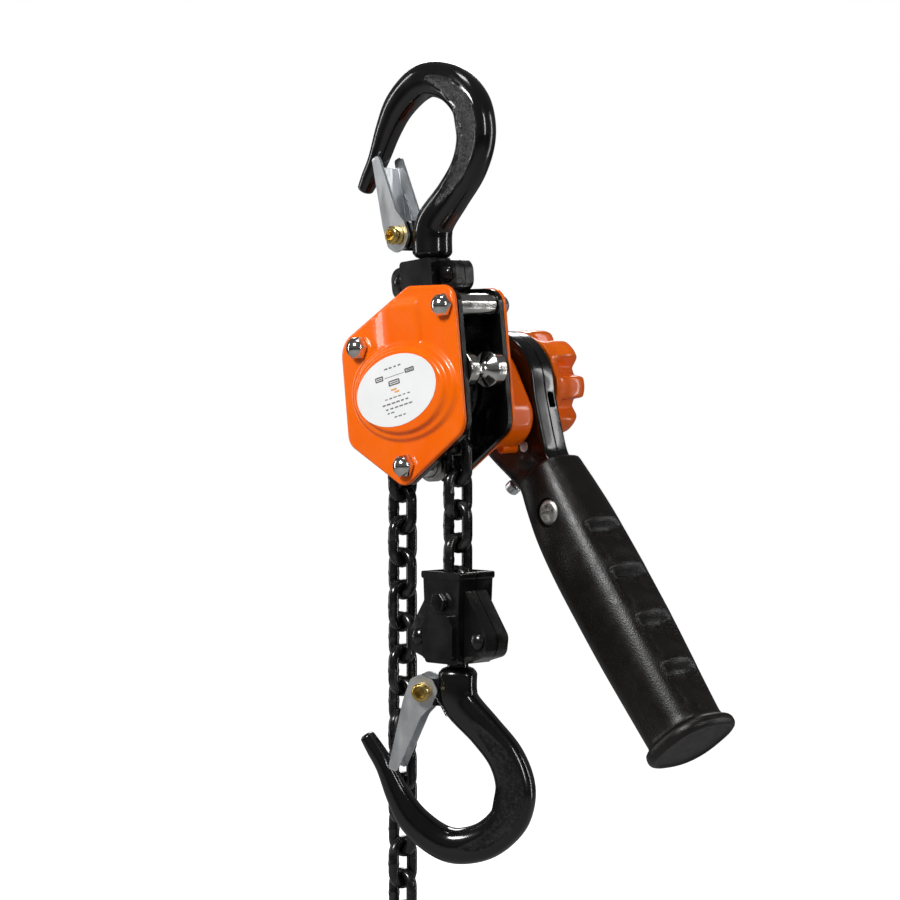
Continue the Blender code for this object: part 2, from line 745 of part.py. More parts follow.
def drum_outline(inset=0.0):
    """Circle about the shaft with a lobe at the lower right, joined by their outer tangents."""
    x, z, lobe_r = LOBE
    big, small = DRUM_R - inset, lobe_r - inset
    distance = math.hypot(x, z)
    heading = math.degrees(math.atan2(z, x))
    spread = math.degrees(math.acos((big - small) / distance))
    points = arc((0, 0), big, heading + spread, heading + 360 - spread, 18)
    points += arc((x, z), small, heading - spread, heading + spread, 10)
    return points


def brake_cover(parent):
    """Pressed cover over the brake: a flange on the rear plate and a drum with a lobe."""
    front = REAR_FACE + TOUCH
    cover = prism("brake_cover", [rounded(grown(PLATE_CORNERS, 0.3))], front, front + FLANGE)
    join(cover, prism("brake_cover_drum", [drum_outline()], front + 0.4, BRAKE_BACK))
    join(cover, rod("brake_cover_nub", 1.8, BRAKE_BACK - 11, BRAKE_BACK - 3, (13.2, -24.0), 10))
    cut(cover, prism("brake_cover_hollow", [drum_outline(DRUM_WALL)], front - 1, BRAKE_BACK - DRUM_WALL))
    cut(cover, rod("brake_cover_mouth", 11.0, BRAKE_BACK - 5, BRAKE_BACK + 2, (0, 0), 24))
    for side, (x, z) in STAYS.items():
        cut(cover, rod(f"brake_cover_hole_{side}", STAY_R + TOUCH, front - 2, front + 4, (x, z), 12))
    cut(cover, rod("brake_cover_pin_hole", 2.1, front - 2, front + 4, PAWL_PIVOT, 12))
    place(cover, parent, "orange_paint", ORANGE_PAINT)


def dome_nut(name, at, face, side):
    """Acorn nut: six flats, then a dome. Side is -1 where it points to -Y."""
    radius = 4.5
    rings = []
    for height, reach, hexed in ((0, 1.0, 1), (1.8, 1.0, 1), (2.2, 0.88, 0.2), (3.6, 0.74, 0), (4.6, 0.42, 0), (4.9, 0.16, 0)):
        ring = []
        for k in range(12):
            turn = 2 * math.pi * k / 12
            flat = math.cos(math.pi / 6) / math.cos((turn % (math.pi / 3)) - math.pi / 6)
            r = radius * reach * (hexed * flat + (1 - hexed))
            ring.append(Vector((at[0] + r * math.cos(turn), face + side * height, at[1] + r * math.sin(turn))))
        rings.append(ring)
    nut = loft(name, rings)
    low, high = sorted((face - side * 1, face + side * 3.0))
    cut(nut, rod(f"{name}_bore", STAY_R + 0.3, low, high, at, 12))
    return nut


def stays(parent):
    """Three shouldered stays that hold the plates apart, each with a dome nut at both ends."""
    front = -FRONT_FACE - TOUCH - COVER_RIM - TOUCH
    rear = REAR_FACE + TOUCH + FLANGE + TOUCH
    shoulder = GAP / 2 - TOUCH
    for side, at in STAYS.items():
        profile = [(0, front - 2.6), (STAY_R, front - 2.6), (STAY_R, -shoulder), (SLEEVE_R, -shoulder),
                   (SLEEVE_R, shoulder), (STAY_R, shoulder), (STAY_R, rear + 2.6), (0, rear + 2.6)]
        place(turned(f"stay_{side}", profile, at=(at[0], 0, at[1]), sides=14), parent, "chrome", CHROME)
        place(dome_nut(f"front_nut_{side}", at, front, -1), parent, "chrome", CHROME)
        place(dome_nut(f"rear_nut_{side}", at, rear, 1), parent, "chrome", CHROME)


def top_pin(parent):
    pin = turned(
        "top_pin",
        [(0, -11.4), (2.4, -11.4), (2.9, -10.9), (2.9, 10.9), (2.4, 11.4), (0, 11.4)],
        at=(YOKE_X, 0, TOP_PIN_Z), sides=14,
    )
    place(pin, parent, "steel", STEEL)


def guide_roller(name, x, parent):
    """Turned roller with a waist for the standing links; its own journals run in the plates."""
    profile = [(0, -11.8), (2.0, -11.8), (2.0, -9.1), (6.6, -9.1), (6.6, -4.6), (2.5, -2.7)]
    profile += [(r, -y) for r, y in reversed(profile)]
    roller = turned(name, profile, at=(x, 0, ROLLER_Z), sides=16)
    place(roller, parent, "chrome", CHROME)


def chain_stripper(parent):
    """Finger on the bottom stay that reaches into the sheave's groove and lifts the chain out."""
    x, z = STAYS["bottom"]
    outline = [(x - 6.0, z + 1), (x - 4.2, -16.5), (-5.2, -10.2), (-2.4, -8.4), (2.4, -8.4), (5.2, -10.2),
               (x + 6.4, -16.5), (x + 6.2, z + 1), *arc((x, z), 6.2, 0, -180, 8)]
    piece = prism("chain_stripper", [outline, circle((x, z), SLEEVE_R + 0.3, 16)], -1.7, 1.7)
    place(piece, parent, "steel", STEEL)


def bush(name, inner, outer, low, high, parent):
    piece = prism(name, [circle((0, 0), outer, 24), circle((0, 0), inner, 24)], low, high)
    place(piece, parent, "bronze", BRONZE)


# ---------------------------------------------------------------- shaft and brake

RATCHET_TEETH = 12
PAWL_PIVOT = (14.6, -12.4)
PAWL_TIP = -12.0  # angle of the brake pawl's tip about the shaft, in the leaning frame
PAWL_PIN_R = 1.8
PAWL_LIFT = 13.5  # the pawl is drawn clear of the teeth, as it stands when it clicks over one
SHEAVE_HALF = 8.4
SHEAVE_R = 16.6


def load_shaft(parent):
    """Sheave and shaft in one forging: pockets for the flat links, a groove for the standing ones."""
    profile = [(0, -14.6), (5.6, -14.6), (6.0, -14.2), (6.0, -GAP / 2 + 0.4), (10, -SHEAVE_HALF), (SHEAVE_R, -SHEAVE_HALF),
               (SHEAVE_R, -2.5), (7.2, -2.5), (7.2, 2.5), (SHEAVE_R, 2.5), (SHEAVE_R, SHEAVE_HALF), (10, SHEAVE_HALF),
               (7.0, GAP / 2 - 0.4), (7.0, 14.2), (4.5, 14.2), (4.5, 60.6), (3.9, 61.4), (0, 61.4)]
    body = turned("load_shaft", profile, sides=24)
    shape = [(24, -10.35), (9.4, -10.35), (9.4, -9.0), (12.15, -2.5), (12.15, 2.5), (9.4, 9.0), (9.4, 10.35), (24, 10.35)]
    for i in range(POCKETS):
        cutter = prism(f"pocket_{i}", [shape], -7.0, 7.0)
        angle = FIRST_LINK + LINK_ANGLE + 90 * i
        cutter.data.transform(Matrix.Rotation(math.radians(-angle), 4, "Y"))
        cut(body, cutter)
    place(body, parent, "steel", STEEL)


def flat_ring(name, inner, outline, low, high, parent, look_name, look):
    piece = prism(name, [outline, circle((0, 0), inner, 20)], low, high)
    place(piece, parent, look_name, look)


def brake(parent):
    """From the frame outwards: keyed hub, lining, ratchet disc, lining, then the change gear."""
    hub = turned("brake_hub", [(4.8, 14.6), (13.6, 14.6), (13.6, 17.4), (8.2, 17.4), (8.2, 27.0), (4.8, 27.0)], sides=20, ring=True)
    place(hub, parent, "steel", STEEL)
    flat_ring("friction_disc_inner", 8.5, circle((0, 0), 13.4, 24), 17.7, 19.7, parent, "friction", FRICTION)
    teeth = toothed(RATCHET_TEETH, 12.6, 15.0, PAWL_TIP + ROLL + 0.8)
    flat_ring("ratchet_disc", 8.5, teeth, 20.0, 24.0, parent, "steel", STEEL)
    flat_ring("friction_disc_outer", 8.5, circle((0, 0), 13.4, 24), 24.3, 26.3, parent, "friction", FRICTION)


def change_gear(parent):
    """Pressure flange, neck and ratchet gear in one piece, threaded on the shaft."""
    gear = turned(
        "change_gear",
        [(4.8, 27.3), (4.8, 46.0), (8.0, 46.0), (8.0, 43.8), (9.0, 43.8), (9.0, 29.6), (13.6, 29.6), (13.6, 27.3)],
        sides=20, ring=True,
    )
    teeth = prism("change_gear_teeth", [even_teeth(GEAR_TEETH, 11.0, 13.2), circle((0, 0), 8.5, 20)], 36.4, 43.2)
    join(gear, teeth)
    place(gear, parent, "steel", STEEL)


GEAR_TEETH = 12


def even_teeth(teeth, root, tip):
    """Symmetrical ratchet teeth, which a double pawl can drive both ways."""
    points = []
    step = 360 / teeth
    for i in range(teeth):
        for share, radius in ((-0.5, root), (-0.26, root), (-0.17, tip), (0.17, tip), (0.26, root)):
            angle = math.radians(LEVER_ANGLE - 90 + (i + share) * step)
            points.append((radius * math.cos(angle), radius * math.sin(angle)))
    return points


WHEEL_LOBES = 8


def wheel_ring(y, radius, depth, sides=40):
    """A ring of the hand wheel at depth y: lobes stand out by `depth` from a circle."""
    ring = []
    for k in range(sides):
        turn = 2 * math.pi * k / sides
        wave = 0.5 + 0.5 * math.cos(WHEEL_LOBES * turn)
        r = radius + depth * (wave ** 0.8 - 1)
        ring.append(Vector((r * math.cos(turn), y, r * math.sin(turn))))
    return ring


def hand_wheel(parent):
    """Pressed hand wheel with eight finger lobes, open at the front and dished at the centre."""
    outer = [wheel_ring(WHEEL_FRONT, 21.0, 1.5), wheel_ring(WHEEL_FRONT + 3, 21.2, 2.0),
             wheel_ring(WHEEL_FRONT + 9, 21.4, 4.6), wheel_ring(WHEEL_BACK - 3.4, 21.2, 5.0),
             wheel_ring(WHEEL_BACK - 1.0, 20.2, 5.0), wheel_ring(WHEEL_BACK, 18.4, 4.8)]
    wheel = loft("hand_wheel", outer)
    cut(wheel, turned("hand_wheel_inside", [(0, WHEEL_FRONT - 2), (14.2, WHEEL_FRONT - 2), (13.2, WHEEL_BACK - 3.0), (0, WHEEL_BACK - 3.0)], sides=24))
    cut(wheel, turned("hand_wheel_dish", [(0, WHEEL_BACK - 7), (8.6, WHEEL_BACK - 7), (10.4, WHEEL_BACK + 2), (0, WHEEL_BACK + 2)], sides=20))
    join(wheel, turned("hand_wheel_hub", [(5.0, WHEEL_FRONT + 0.1), (5.0, WHEEL_BACK - 7.6), (14.0, WHEEL_BACK - 3.6), (14.0, WHEEL_BACK - 1.6), (9.4, WHEEL_BACK - 2.2), (8.4, WHEEL_BACK - 5.4), (8.4, WHEEL_FRONT + 0.1)], sides=20, ring=True))
    place(wheel, parent, "orange_paint", ORANGE_PAINT)
    nut = prism("wheel_nut", [hex_outline((0, 0), 11.6), circle((0, 0), 4.8, 20)], WHEEL_BACK - 7.3, WHEEL_BACK - 2.4)
    place(nut, parent, "steel", STEEL)
    circlip = prism("shaft_circlip", [[*arc((0, 0), 7.6, 110, 430, 14), *arc((0, 0), 6.3, 430, 110, 14)]], -14.3, -13.5)
    place(circlip, parent, "steel", STEEL)


def brake_pawl(frame):
    """Pawl on its pin in the brake cover's lobe, lifted, with a torsion spring around the pin."""
    x, z = PAWL_PIVOT
    outline = [polar(13.1, PAWL_TIP - 0.2), polar(15.3, PAWL_TIP - 0.6), polar(17.0, PAWL_TIP - 7),
               *arc((x, z), 3.4, 50, -150, 10), polar(14.9, PAWL_TIP - 18), polar(14.5, PAWL_TIP - 12.5),
               polar(13.4, PAWL_TIP - 4)]
    pawl = prism("brake_pawl", [outline, circle((x, z), PAWL_PIN_R + 0.1, 16)], 20.2, 23.8)
    pin_place = Matrix.Translation((x * MM, 0, z * MM))
    pawl.data.transform(pin_place @ Matrix.Rotation(math.radians(PAWL_LIFT), 4, "Y") @ pin_place.inverted())
    place(pawl, frame, "steel", STEEL)
    pin = turned(
        "brake_pawl_pin",
        [(0, GAP / 2 + PLATE + 0.4), (PAWL_PIN_R, GAP / 2 + PLATE + 0.4), (PAWL_PIN_R, 28.4), (2.9, 28.4), (2.9, 29.6), (0, 29.6)],
        at=(x, 0, z), sides=16,
    )
    place(pin, frame, "steel", STEEL)
    coil = coil_points(PAWL_PIVOT, 2.5, 24.6, 27.4, 2.5, 0, 8)
    legs = [(x + 2.5, 24.3, z - 4.6), *coil, (x - 6.2, 27.4, z - 3.4)]
    place(wire_path("brake_pawl_spring", legs, 0.32), frame, "steel", STEEL)


# ---------------------------------------------------------------- lever


def housing_outline(inset=0.0, end=NECK_END):
    """A circle about the shaft running down into the lever's neck, wider on the selector's side."""
    radius = HOUSING_R - inset
    points = arc((0, 0), radius, -35, 190, 18)
    left = ((-17.4, -20.0), (-13.6, -32.5), (-12.4, end))
    right = ((8.0, end), (8.6, -33.5), (14.4, -18.3))
    points += [(x + inset, z) for x, z in left]
    points += [(x - inset, z) for x, z in right]
    return points


def lever_housing(parent):
    """Two pressed shells that meet at the middle, with a tang down into the grip."""
    sheet = 1.6
    spans = {
        "lever_housing_front": (HOUSING_FRONT, HOUSING_SPLIT, HOUSING_FRONT + sheet, HOUSING_SPLIT + 2, 9.6),
        "lever_housing_rear": (HOUSING_SPLIT + 0.3, HOUSING_BACK, HOUSING_SPLIT - 2, HOUSING_BACK - sheet, 9.6),
    }
    for name, (low, high, hollow_low, hollow_high, bore) in spans.items():
        shell = prism(name, [housing_outline()], low, high)
        tang_low, tang_high = (low + 2.4, high) if low == HOUSING_FRONT else (low, high - 2.4)
        tang = block(f"{name}_tang", (-TANG_HALF, tang_low, TANG_END), (TANG_HALF, tang_high, NECK_END + 3))
        join(shell, tang)
        cut(shell, prism(f"{name}_hollow", [housing_outline(sheet, NECK_END + 2.4)], hollow_low, hollow_high))
        cut(shell, rod(f"{name}_mouth", bore, low - 2, high + 2, (0, 0), 24))
        cut(shell, block(f"{name}_slot", (-26, PAWL_Y - 2.0, -36.9), (-9, PAWL_Y + 2.0, -26.2)))
        cut(shell, rod(f"{name}_pivot_hole", 2.3, low - 2, high + 2, (0, SELECTOR_Z), 12))
        cut(shell, rod(f"{name}_screw_hole", 2.4, low - 4, high + 4, (0, SCREW_Z), 12))
        if name.endswith("rear"):
            cut(shell, block(f"{name}_window", (10, HOUSING_SPLIT + 1.0, -19.6), (26, HOUSING_SPLIT + 4.3, -14.2)))
        place(shell, parent, "black_paint", BLACK_PAINT)


def selector(parent):
    """Double pawl on its pivot, with an arm out through the housing's side and a thumb knob."""
    low, high = PAWL_Y - 2.8, PAWL_Y + 2.8
    outline = [(-8.0, -13.4), (-5.4, -14.6), (-3.2, -19.5), (3.2, -19.5), (5.4, -14.6), (8.0, -13.4),
               (9.2, -16.4), (5.6, -24.0), (4.0, -31.0), (-4.0, -31.0), (-5.6, -24.0), (-9.2, -16.4)]
    pawl = prism("selector_pawl", [outline], low, high)
    join(pawl, rod("selector_pawl_pivot", 2.0, HOUSING_FRONT - 0.2, HOUSING_BACK + 0.5, (0, SELECTOR_Z), 14))
    arm = [(-3, -26.4), (-3, -30.2), (-18.4, -33.8), (-18.4, -31.0)]
    join(pawl, prism("selector_pawl_arm", [arm], PAWL_Y - 1.3, PAWL_Y + 1.3))
    join(pawl, rod("selector_pawl_knob", 2.8, -21.4, -17.6, (PAWL_Y, -32.4), 14, "X"))
    place(pawl, parent, "zinc", ZINC)


GRIP_RINGS = (
    # height down the lever, half width, half depth, shift of the middle towards -X
    (GRIP_TOP, 10.2, 10.4, 0.0),
    (-41.0, 11.4, 11.3, 0.1),
    (-50.0, 12.7, 12.3, 0.7),
    (-62.0, 13.9, 13.4, 1.3),
    (-78.0, 14.6, 14.2, 1.6),
    (-97.0, 14.8, 14.4, 1.6),
    (-115.0, 14.6, 14.2, 1.6),
    (-134.0, 14.1, 13.8, 1.6),
    (-151.0, 13.6, 13.3, 1.5),
    (-153.4, 15.6, 15.2, 1.2),
    (-156.8, 16.2, 15.8, 1.1),
    (GRIP_END, 15.4, 15.0, 1.1),
)
GRIP_SQUARE = 2.8  # 2 is an ellipse, and more is squarer


def grip_ring(z, half_x, half_y, shift, sides=16):
    ring = []
    for k in range(sides):
        turn = 2 * math.pi * k / sides
        c, s = math.cos(turn), math.sin(turn)
        reach = (abs(c) ** GRIP_SQUARE + abs(s) ** GRIP_SQUARE) ** (-1 / GRIP_SQUARE)
        ring.append(Vector((c * half_x * reach - shift, GRIP_Y + s * half_y * reach, z)))
    return ring


def grip(parent):
    """Moulded grip over the tang, with finger rests on its +X side and an end flange."""
    body = loft("grip", [grip_ring(*ring) for ring in GRIP_RINGS])
    tang_low = HOUSING_FRONT + 2.4 - 0.35
    tang_high = HOUSING_BACK - 2.4 + 0.35
    socket = block("grip_socket", (-TANG_HALF - 0.35, tang_low, TANG_END - 1), (TANG_HALF + 0.35, tang_high, GRIP_TOP + 3))
    cut(body, socket)
    cut(body, rod("grip_screw_hole", 2.4, GRIP_Y - 16, GRIP_Y + 16, (0, SCREW_Z), 12))
    cut(body, rod("grip_screw_seat", 5.6, GRIP_Y - 16, GRIP_Y - 10.0, (0, SCREW_Z), 16))
    cut(body, rod("grip_nut_seat", 5.2, GRIP_Y + 10.0, GRIP_Y + 16, (0, SCREW_Z), 16))
    place(body, parent, "grip_plastic", GRIP_PLASTIC)
    seat = 10.0 - TOUCH
    screw = turned(
        "grip_screw",
        [(0, -seat - 2.9), (2.4, -seat - 2.7), (4.2, -seat - 2.0), (5.1, -seat - 0.9), (5.1, -seat - 0.3), (2.0, -seat - 0.3), (2.0, seat + 3.4), (0, seat + 3.4)],
        at=(0, GRIP_Y, SCREW_Z), sides=14,
    )
    place(screw, parent, "chrome", CHROME)
    nut = prism("grip_nut", [hex_outline((0, SCREW_Z), 8.6), circle((0, SCREW_Z), 2.3, 12)], GRIP_Y + 10.3, GRIP_Y + 13.2)
    place(nut, parent, "chrome", CHROME)


# ---------------------------------------------------------------- assembly


def build():
    shaft = pivot("shaft", SHAFT)
    frame = pivot("frame", (0, 0, 0), (0, -ROLL, 0), shaft)
    lever = pivot("lever", (0, 0, 0), (0, -LEVER_ANGLE, 0), shaft)
    top = pivot("top_hook_saddle", (0, 0, 0), (180, 0, TOP_TURN))
    swivel = pivot("bottom_swivel", (LOAD_X, 0, BOTTOM_SADDLE_Z), (0, 0, BOTTOM_TURN), shaft)

    hook_set("top", top, 1)
    top_yoke(frame)
    side_plates(frame)
    end_cover(frame)
    brake_cover(frame)
    stays(frame)
    top_pin(frame)
    chain_stripper(frame)
    guide_roller("guide_roller_load", ROLLER_X, frame)
    guide_roller("guide_roller_tail", -ROLLER_X, frame)
    bush("front_bush", 6.1, 7.9, -FRONT_FACE + 0.3, -GAP / 2 + 0.1, frame)
    bush("rear_bush", 7.1, 8.9, GAP / 2 - 0.1, REAR_FACE - 0.3, frame)
    brake_pawl(frame)

    load_shaft(shaft)
    brake(shaft)
    change_gear(shaft)
    hand_wheel(shaft)

    lever_housing(lever)
    selector(lever)
    grip(lever)

    place(sheave_wrap("chain_over_sheave"), shaft, "black_chain", BLACK_PAINT)
    load = strand("load_chain", LOAD_X, LOAD_FIRST_Z - 2 * PITCH + PIVOT_GAP, LOAD_LINKS, True)
    place(load, shaft, "black_chain", BLACK_PAINT)
    tail = strand("tail_chain", TAIL_X, TAIL_FIRST_Z - 2 * PITCH + PIVOT_GAP, TAIL_LINKS, True)
    place(tail, shaft, "black_chain", BLACK_PAINT)
    bottom_block(shaft)
    hook_set("bottom", swivel, -1)


clear_scene()
PARTS = new_collection("lever_chain_hoist")
CUTTERS = new_collection("cutters")
build()
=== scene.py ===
"""Looks of the small lever chain hoist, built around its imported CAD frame.

Every visible CAD node is replaced by a finer version of the same shape. Lengths are millimetres
until place() turns a finished piece into metres in the frame's own coordinates.
"""

import json
import math

import bmesh
import bpy
from mathutils import Matrix, Vector, noise

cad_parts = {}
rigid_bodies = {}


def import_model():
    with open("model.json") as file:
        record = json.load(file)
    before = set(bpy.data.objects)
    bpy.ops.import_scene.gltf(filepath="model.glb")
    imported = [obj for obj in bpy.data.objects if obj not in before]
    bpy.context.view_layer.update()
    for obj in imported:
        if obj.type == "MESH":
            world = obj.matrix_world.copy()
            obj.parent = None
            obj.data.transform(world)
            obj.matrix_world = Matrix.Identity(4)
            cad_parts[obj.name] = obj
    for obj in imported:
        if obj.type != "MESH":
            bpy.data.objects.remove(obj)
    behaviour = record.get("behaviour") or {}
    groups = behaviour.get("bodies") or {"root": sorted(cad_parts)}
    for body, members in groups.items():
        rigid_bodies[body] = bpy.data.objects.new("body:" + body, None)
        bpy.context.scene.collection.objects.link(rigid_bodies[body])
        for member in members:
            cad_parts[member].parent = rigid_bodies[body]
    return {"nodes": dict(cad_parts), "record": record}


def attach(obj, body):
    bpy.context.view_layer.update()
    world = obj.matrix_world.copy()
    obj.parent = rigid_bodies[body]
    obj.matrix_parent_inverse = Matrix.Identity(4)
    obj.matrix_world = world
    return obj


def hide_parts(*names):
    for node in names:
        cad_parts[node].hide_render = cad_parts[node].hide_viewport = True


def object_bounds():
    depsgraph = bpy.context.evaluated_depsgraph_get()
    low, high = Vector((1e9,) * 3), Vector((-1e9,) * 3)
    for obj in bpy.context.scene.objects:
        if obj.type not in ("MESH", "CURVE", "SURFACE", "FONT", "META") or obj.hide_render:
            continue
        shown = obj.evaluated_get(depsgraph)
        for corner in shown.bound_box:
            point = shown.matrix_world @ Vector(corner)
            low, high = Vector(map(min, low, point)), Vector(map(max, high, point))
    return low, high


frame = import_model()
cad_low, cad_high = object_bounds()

MM = 0.001

# ---------------------------------------------------------------- places, as in the CAD

SHAFT = Vector((-1.3, 0.0, -106.6))
ROLL = 6.0
LEVER_ANGLE = 36.9
PITCH = 12.0
WIRE_R = 2.0
LINK_BEND_R = 4.7
PIVOT_GAP = 0.35
LINK_ANGLE = 45.0
FIRST_LINK = -10.4
SHEAVE_REACH = PITCH / (2 * math.tan(math.radians(LINK_ANGLE / 2)))
LOAD_X = SHEAVE_REACH
TAIL_X = -SHEAVE_REACH
LOAD_FIRST_Z = -2.6
TAIL_FIRST_Z = 2.7
LOAD_LINKS = 5
TAIL_LINKS = 16
BOTTOM_SADDLE_Z = -161.0
BOTTOM_TURN = 30.0
TOP_TURN = 2.0

GAP = 19.0
PLATE = 2.0
TOUCH = 0.3
PLATE_CORNERS = (
    (5.8, 35.6, 6), (29.2, 33.4, 6), (29.7, -17.7, 8), (-3.6, -36.3, 6), (-31.4, -18.0, 6), (-31.8, 19.2, 9),
)
COVER_CORNERS = (
    (5.8, 36.9, 6), (29.2, 34.7, 6), (29.7, -17.7, 8), (-3.6, -36.3, 6), (-31.4, -18.0, 6), (-31.8, 19.6, 9),
)
STAYS = {"top": (24.2, 27.8), "left": (-21.4, 17.0), "bottom": (-1.4, -28.2)}
STAY_R = 2.5
SLEEVE_R = 4.4
ROLLER_X = 24.8
ROLLER_Z = 4.5
YOKE_X = 6.0
TOP_PIN_Z = 28.6
FRONT_FACE = GAP / 2 + PLATE
COVER_RIM = 2.0
COVER_BOSS = 3.0
FLANGE = 1.0
REAR_FACE = GAP / 2 + PLATE
BRAKE_BACK = 32.0
HOUSING_FRONT = 32.6
HOUSING_SPLIT = 39.0
HOUSING_BACK = 45.4
WHEEL_FRONT = 46.2
WHEEL_BACK = 63.0

HOOK_SECTIONS = (
    # centre x, centre z, width in the hook's plane, thickness across it
    (0.0, 57.0, 14.0, 13.6), (0.0, 50.0, 14.0, 13.6), (2.2, 44.8, 13.5, 13.0), (10.4, 36.2, 12.8, 11.4),
    (17.8, 27.2, 13.4, 11.4), (21.4, 18.0, 14.4, 12.0), (21.2, 10.2, 15.2, 12.4), (18.5, 2.9, 14.4, 12.6),
    (10.6, -3.9, 14.0, 12.6), (0.4, -6.5, 13.2, 12.4), (-7.8, -4.4, 12.4, 11.6), (-16.6, 2.3, 11.4, 10.4),
    (-22.4, 11.0, 9.2, 9.2), (-27.4, 21.5, 7.0, 8.2), (-31.6, 28.2, 6.2, 7.4), (-34.4, 32.5, 5.4, 6.2),
)
HOOK_SHOULDER = 59.2
COLLAR_FROM = 65.0
COLLAR_TO = 69.0
NECK_R = 3.8
COLLAR_R = 5.6
LATCH_PIVOT = (-11.5, 50.5)
LATCH_FOOT = (-23.6, 21.6)
LATCH_HALF = 6.6
LATCH_SHEET = 1.2

HOUSING_R = 21.0
NECK_END = -38.4
TANG_HALF = 7.6
GRIP_Y = 39.15
SCREW_Z = -57.0
SELECTOR_Z = -27.5
PAWL_Y = 40.4

TO_SHAFT = Matrix.Translation(SHAFT)
TO_FRAME = TO_SHAFT @ Matrix.Rotation(math.radians(-ROLL), 4, "Y")
TO_LEVER = TO_SHAFT @ Matrix.Rotation(math.radians(-LEVER_ANGLE), 4, "Y")
TO_TOP = Matrix.Rotation(math.radians(TOP_TURN), 4, "Z") @ Matrix.Rotation(math.pi, 4, "X")
TO_SWIVEL = (
    TO_SHAFT
    @ Matrix.Translation((LOAD_X, 0, BOTTOM_SADDLE_Z))
    @ Matrix.Rotation(math.radians(BOTTOM_TURN), 4, "Z")
)

BODY_OF = {node: body for body, nodes in frame["record"]["behaviour"]["bodies"].items() for node in nodes}
SLOT_OF = {part["node"]: part["material_slot"] for part in frame["record"]["subparts"]}
WORK = bpy.data.collections.new("work")
bpy.context.scene.collection.children.link(WORK)


# ---------------------------------------------------------------- materials


class Look:
    """A procedural material around one Principled shader, in the frame's own coordinates."""

    def __init__(self, name, **sockets):
        self.material = bpy.data.materials.new(name)
        self.material.use_nodes = True
        tree = self.material.node_tree
        self.nodes, self.links = tree.nodes, tree.links
        self.shader = self.nodes["Principled BSDF"]
        for socket, value in sockets.items():
            self.shader.inputs[socket.replace("_", " ")].default_value = value
        self.place = self.nodes.new("ShaderNodeTexCoord").outputs["Object"]

    def stretched(self, scale):
        node = self.nodes.new("ShaderNodeMapping")
        node.inputs["Scale"].default_value = scale
        self.links.new(self.place, node.inputs["Vector"])
        return node.outputs["Vector"]

    def noise(self, scale, detail=3.0, rough=0.5, vector=None):
        node = self.nodes.new("ShaderNodeTexNoise")
        node.inputs["Scale"].default_value = scale
        node.inputs["Detail"].default_value = detail
        node.inputs["Roughness"].default_value = rough
        self.links.new(vector or self.place, node.inputs["Vector"])
        return node.outputs["Fac"]

    def cells(self, scale):
        node = self.nodes.new("ShaderNodeTexVoronoi")
        node.inputs["Scale"].default_value = scale
        self.links.new(self.place, node.inputs["Vector"])
        return node.outputs["Distance"]

    def ranged(self, value, from_low, from_high, to_low, to_high):
        node = self.nodes.new("ShaderNodeMapRange")
        sockets = {"From Min": from_low, "From Max": from_high, "To Min": to_low, "To Max": to_high}
        for socket, number in sockets.items():
            node.inputs[socket].default_value = number
        self.links.new(value, node.inputs["Value"])
        return node.outputs["Result"]

    def math(self, operation, a, b):
        node = self.nodes.new("ShaderNodeMath")
        node.operation = operation
        for socket, value in zip(node.inputs, (a, b)):
            if isinstance(value, (int, float)):
                socket.default_value = value
            else:
                self.links.new(value, socket)
        return node.outputs["Value"]

    def clouded(self, scale, detail, dark, light):
        """Soft clouds of two close colours."""
        return self.mixed(self.ranged(self.noise(scale, detail), 0.3, 0.7, 0, 1), dark, light)

    def mixed(self, factor, a, b):
        node = self.nodes.new("ShaderNodeMix")
        node.data_type = "RGBA"
        self.links.new(factor, node.inputs["Factor"])
        for socket, value in ((node.inputs[6], a), (node.inputs[7], b)):
            if isinstance(value, tuple):
                socket.default_value = (*value, 1)
            else:
                self.links.new(value, socket)
        return node.outputs[2]

    def edges(self, low=0.53, high=0.62):
        """How sharply the surface stands out here, for wear on edges."""
        point = self.nodes.new("ShaderNodeNewGeometry").outputs["Pointiness"]
        return self.ranged(point, low, high, 0.0, 1.0)

    def painted(self, name):
        node = self.nodes.new("ShaderNodeAttribute")
        node.attribute_name = name
        return node.outputs["Fac"]

    def colour(self, socket):
        self.links.new(socket, self.shader.inputs["Base Color"])

    def roughness(self, socket):
        self.links.new(socket, self.shader.inputs["Roughness"])

    def bump(self, *layers):
        """Layers of (height, strength, distance in metres), each on top of the one before."""
        last = None
        for height, strength, distance in layers:
            node = self.nodes.new("ShaderNodeBump")
            node.inputs["Distance"].default_value = distance
            if isinstance(strength, float):
                node.inputs["Strength"].default_value = strength
            else:
                self.links.new(strength, node.inputs["Strength"])
            self.links.new(height, node.inputs["Height"])
            if last:
                self.links.new(last, node.inputs["Normal"])
            last = node.outputs["Normal"]
        self.links.new(last, self.shader.inputs["Normal"])


def black_enamel(name="black_enamel", smooth=0.14, rough=0.3):
    look = Look(name, Specular_IOR_Level=0.42, Coat_Weight=0.35, Coat_Roughness=0.06)
    base = look.clouded(45, 4, (0.0022, 0.0022, 0.0024), (0.0062, 0.006, 0.0058))
    worn = look.math("MULTIPLY", look.edges(), look.ranged(look.noise(380, 3), 0.42, 0.62, 0.0, 0.35))
    look.colour(look.mixed(worn, base, (0.09, 0.088, 0.085)))
    look.roughness(look.ranged(look.noise(120, 5), 0.35, 0.68, smooth, rough))
    look.bump((look.noise(420, 2), 0.05, 0.0004), (look.noise(1500, 2), 0.02, 0.0001))
    return look.material


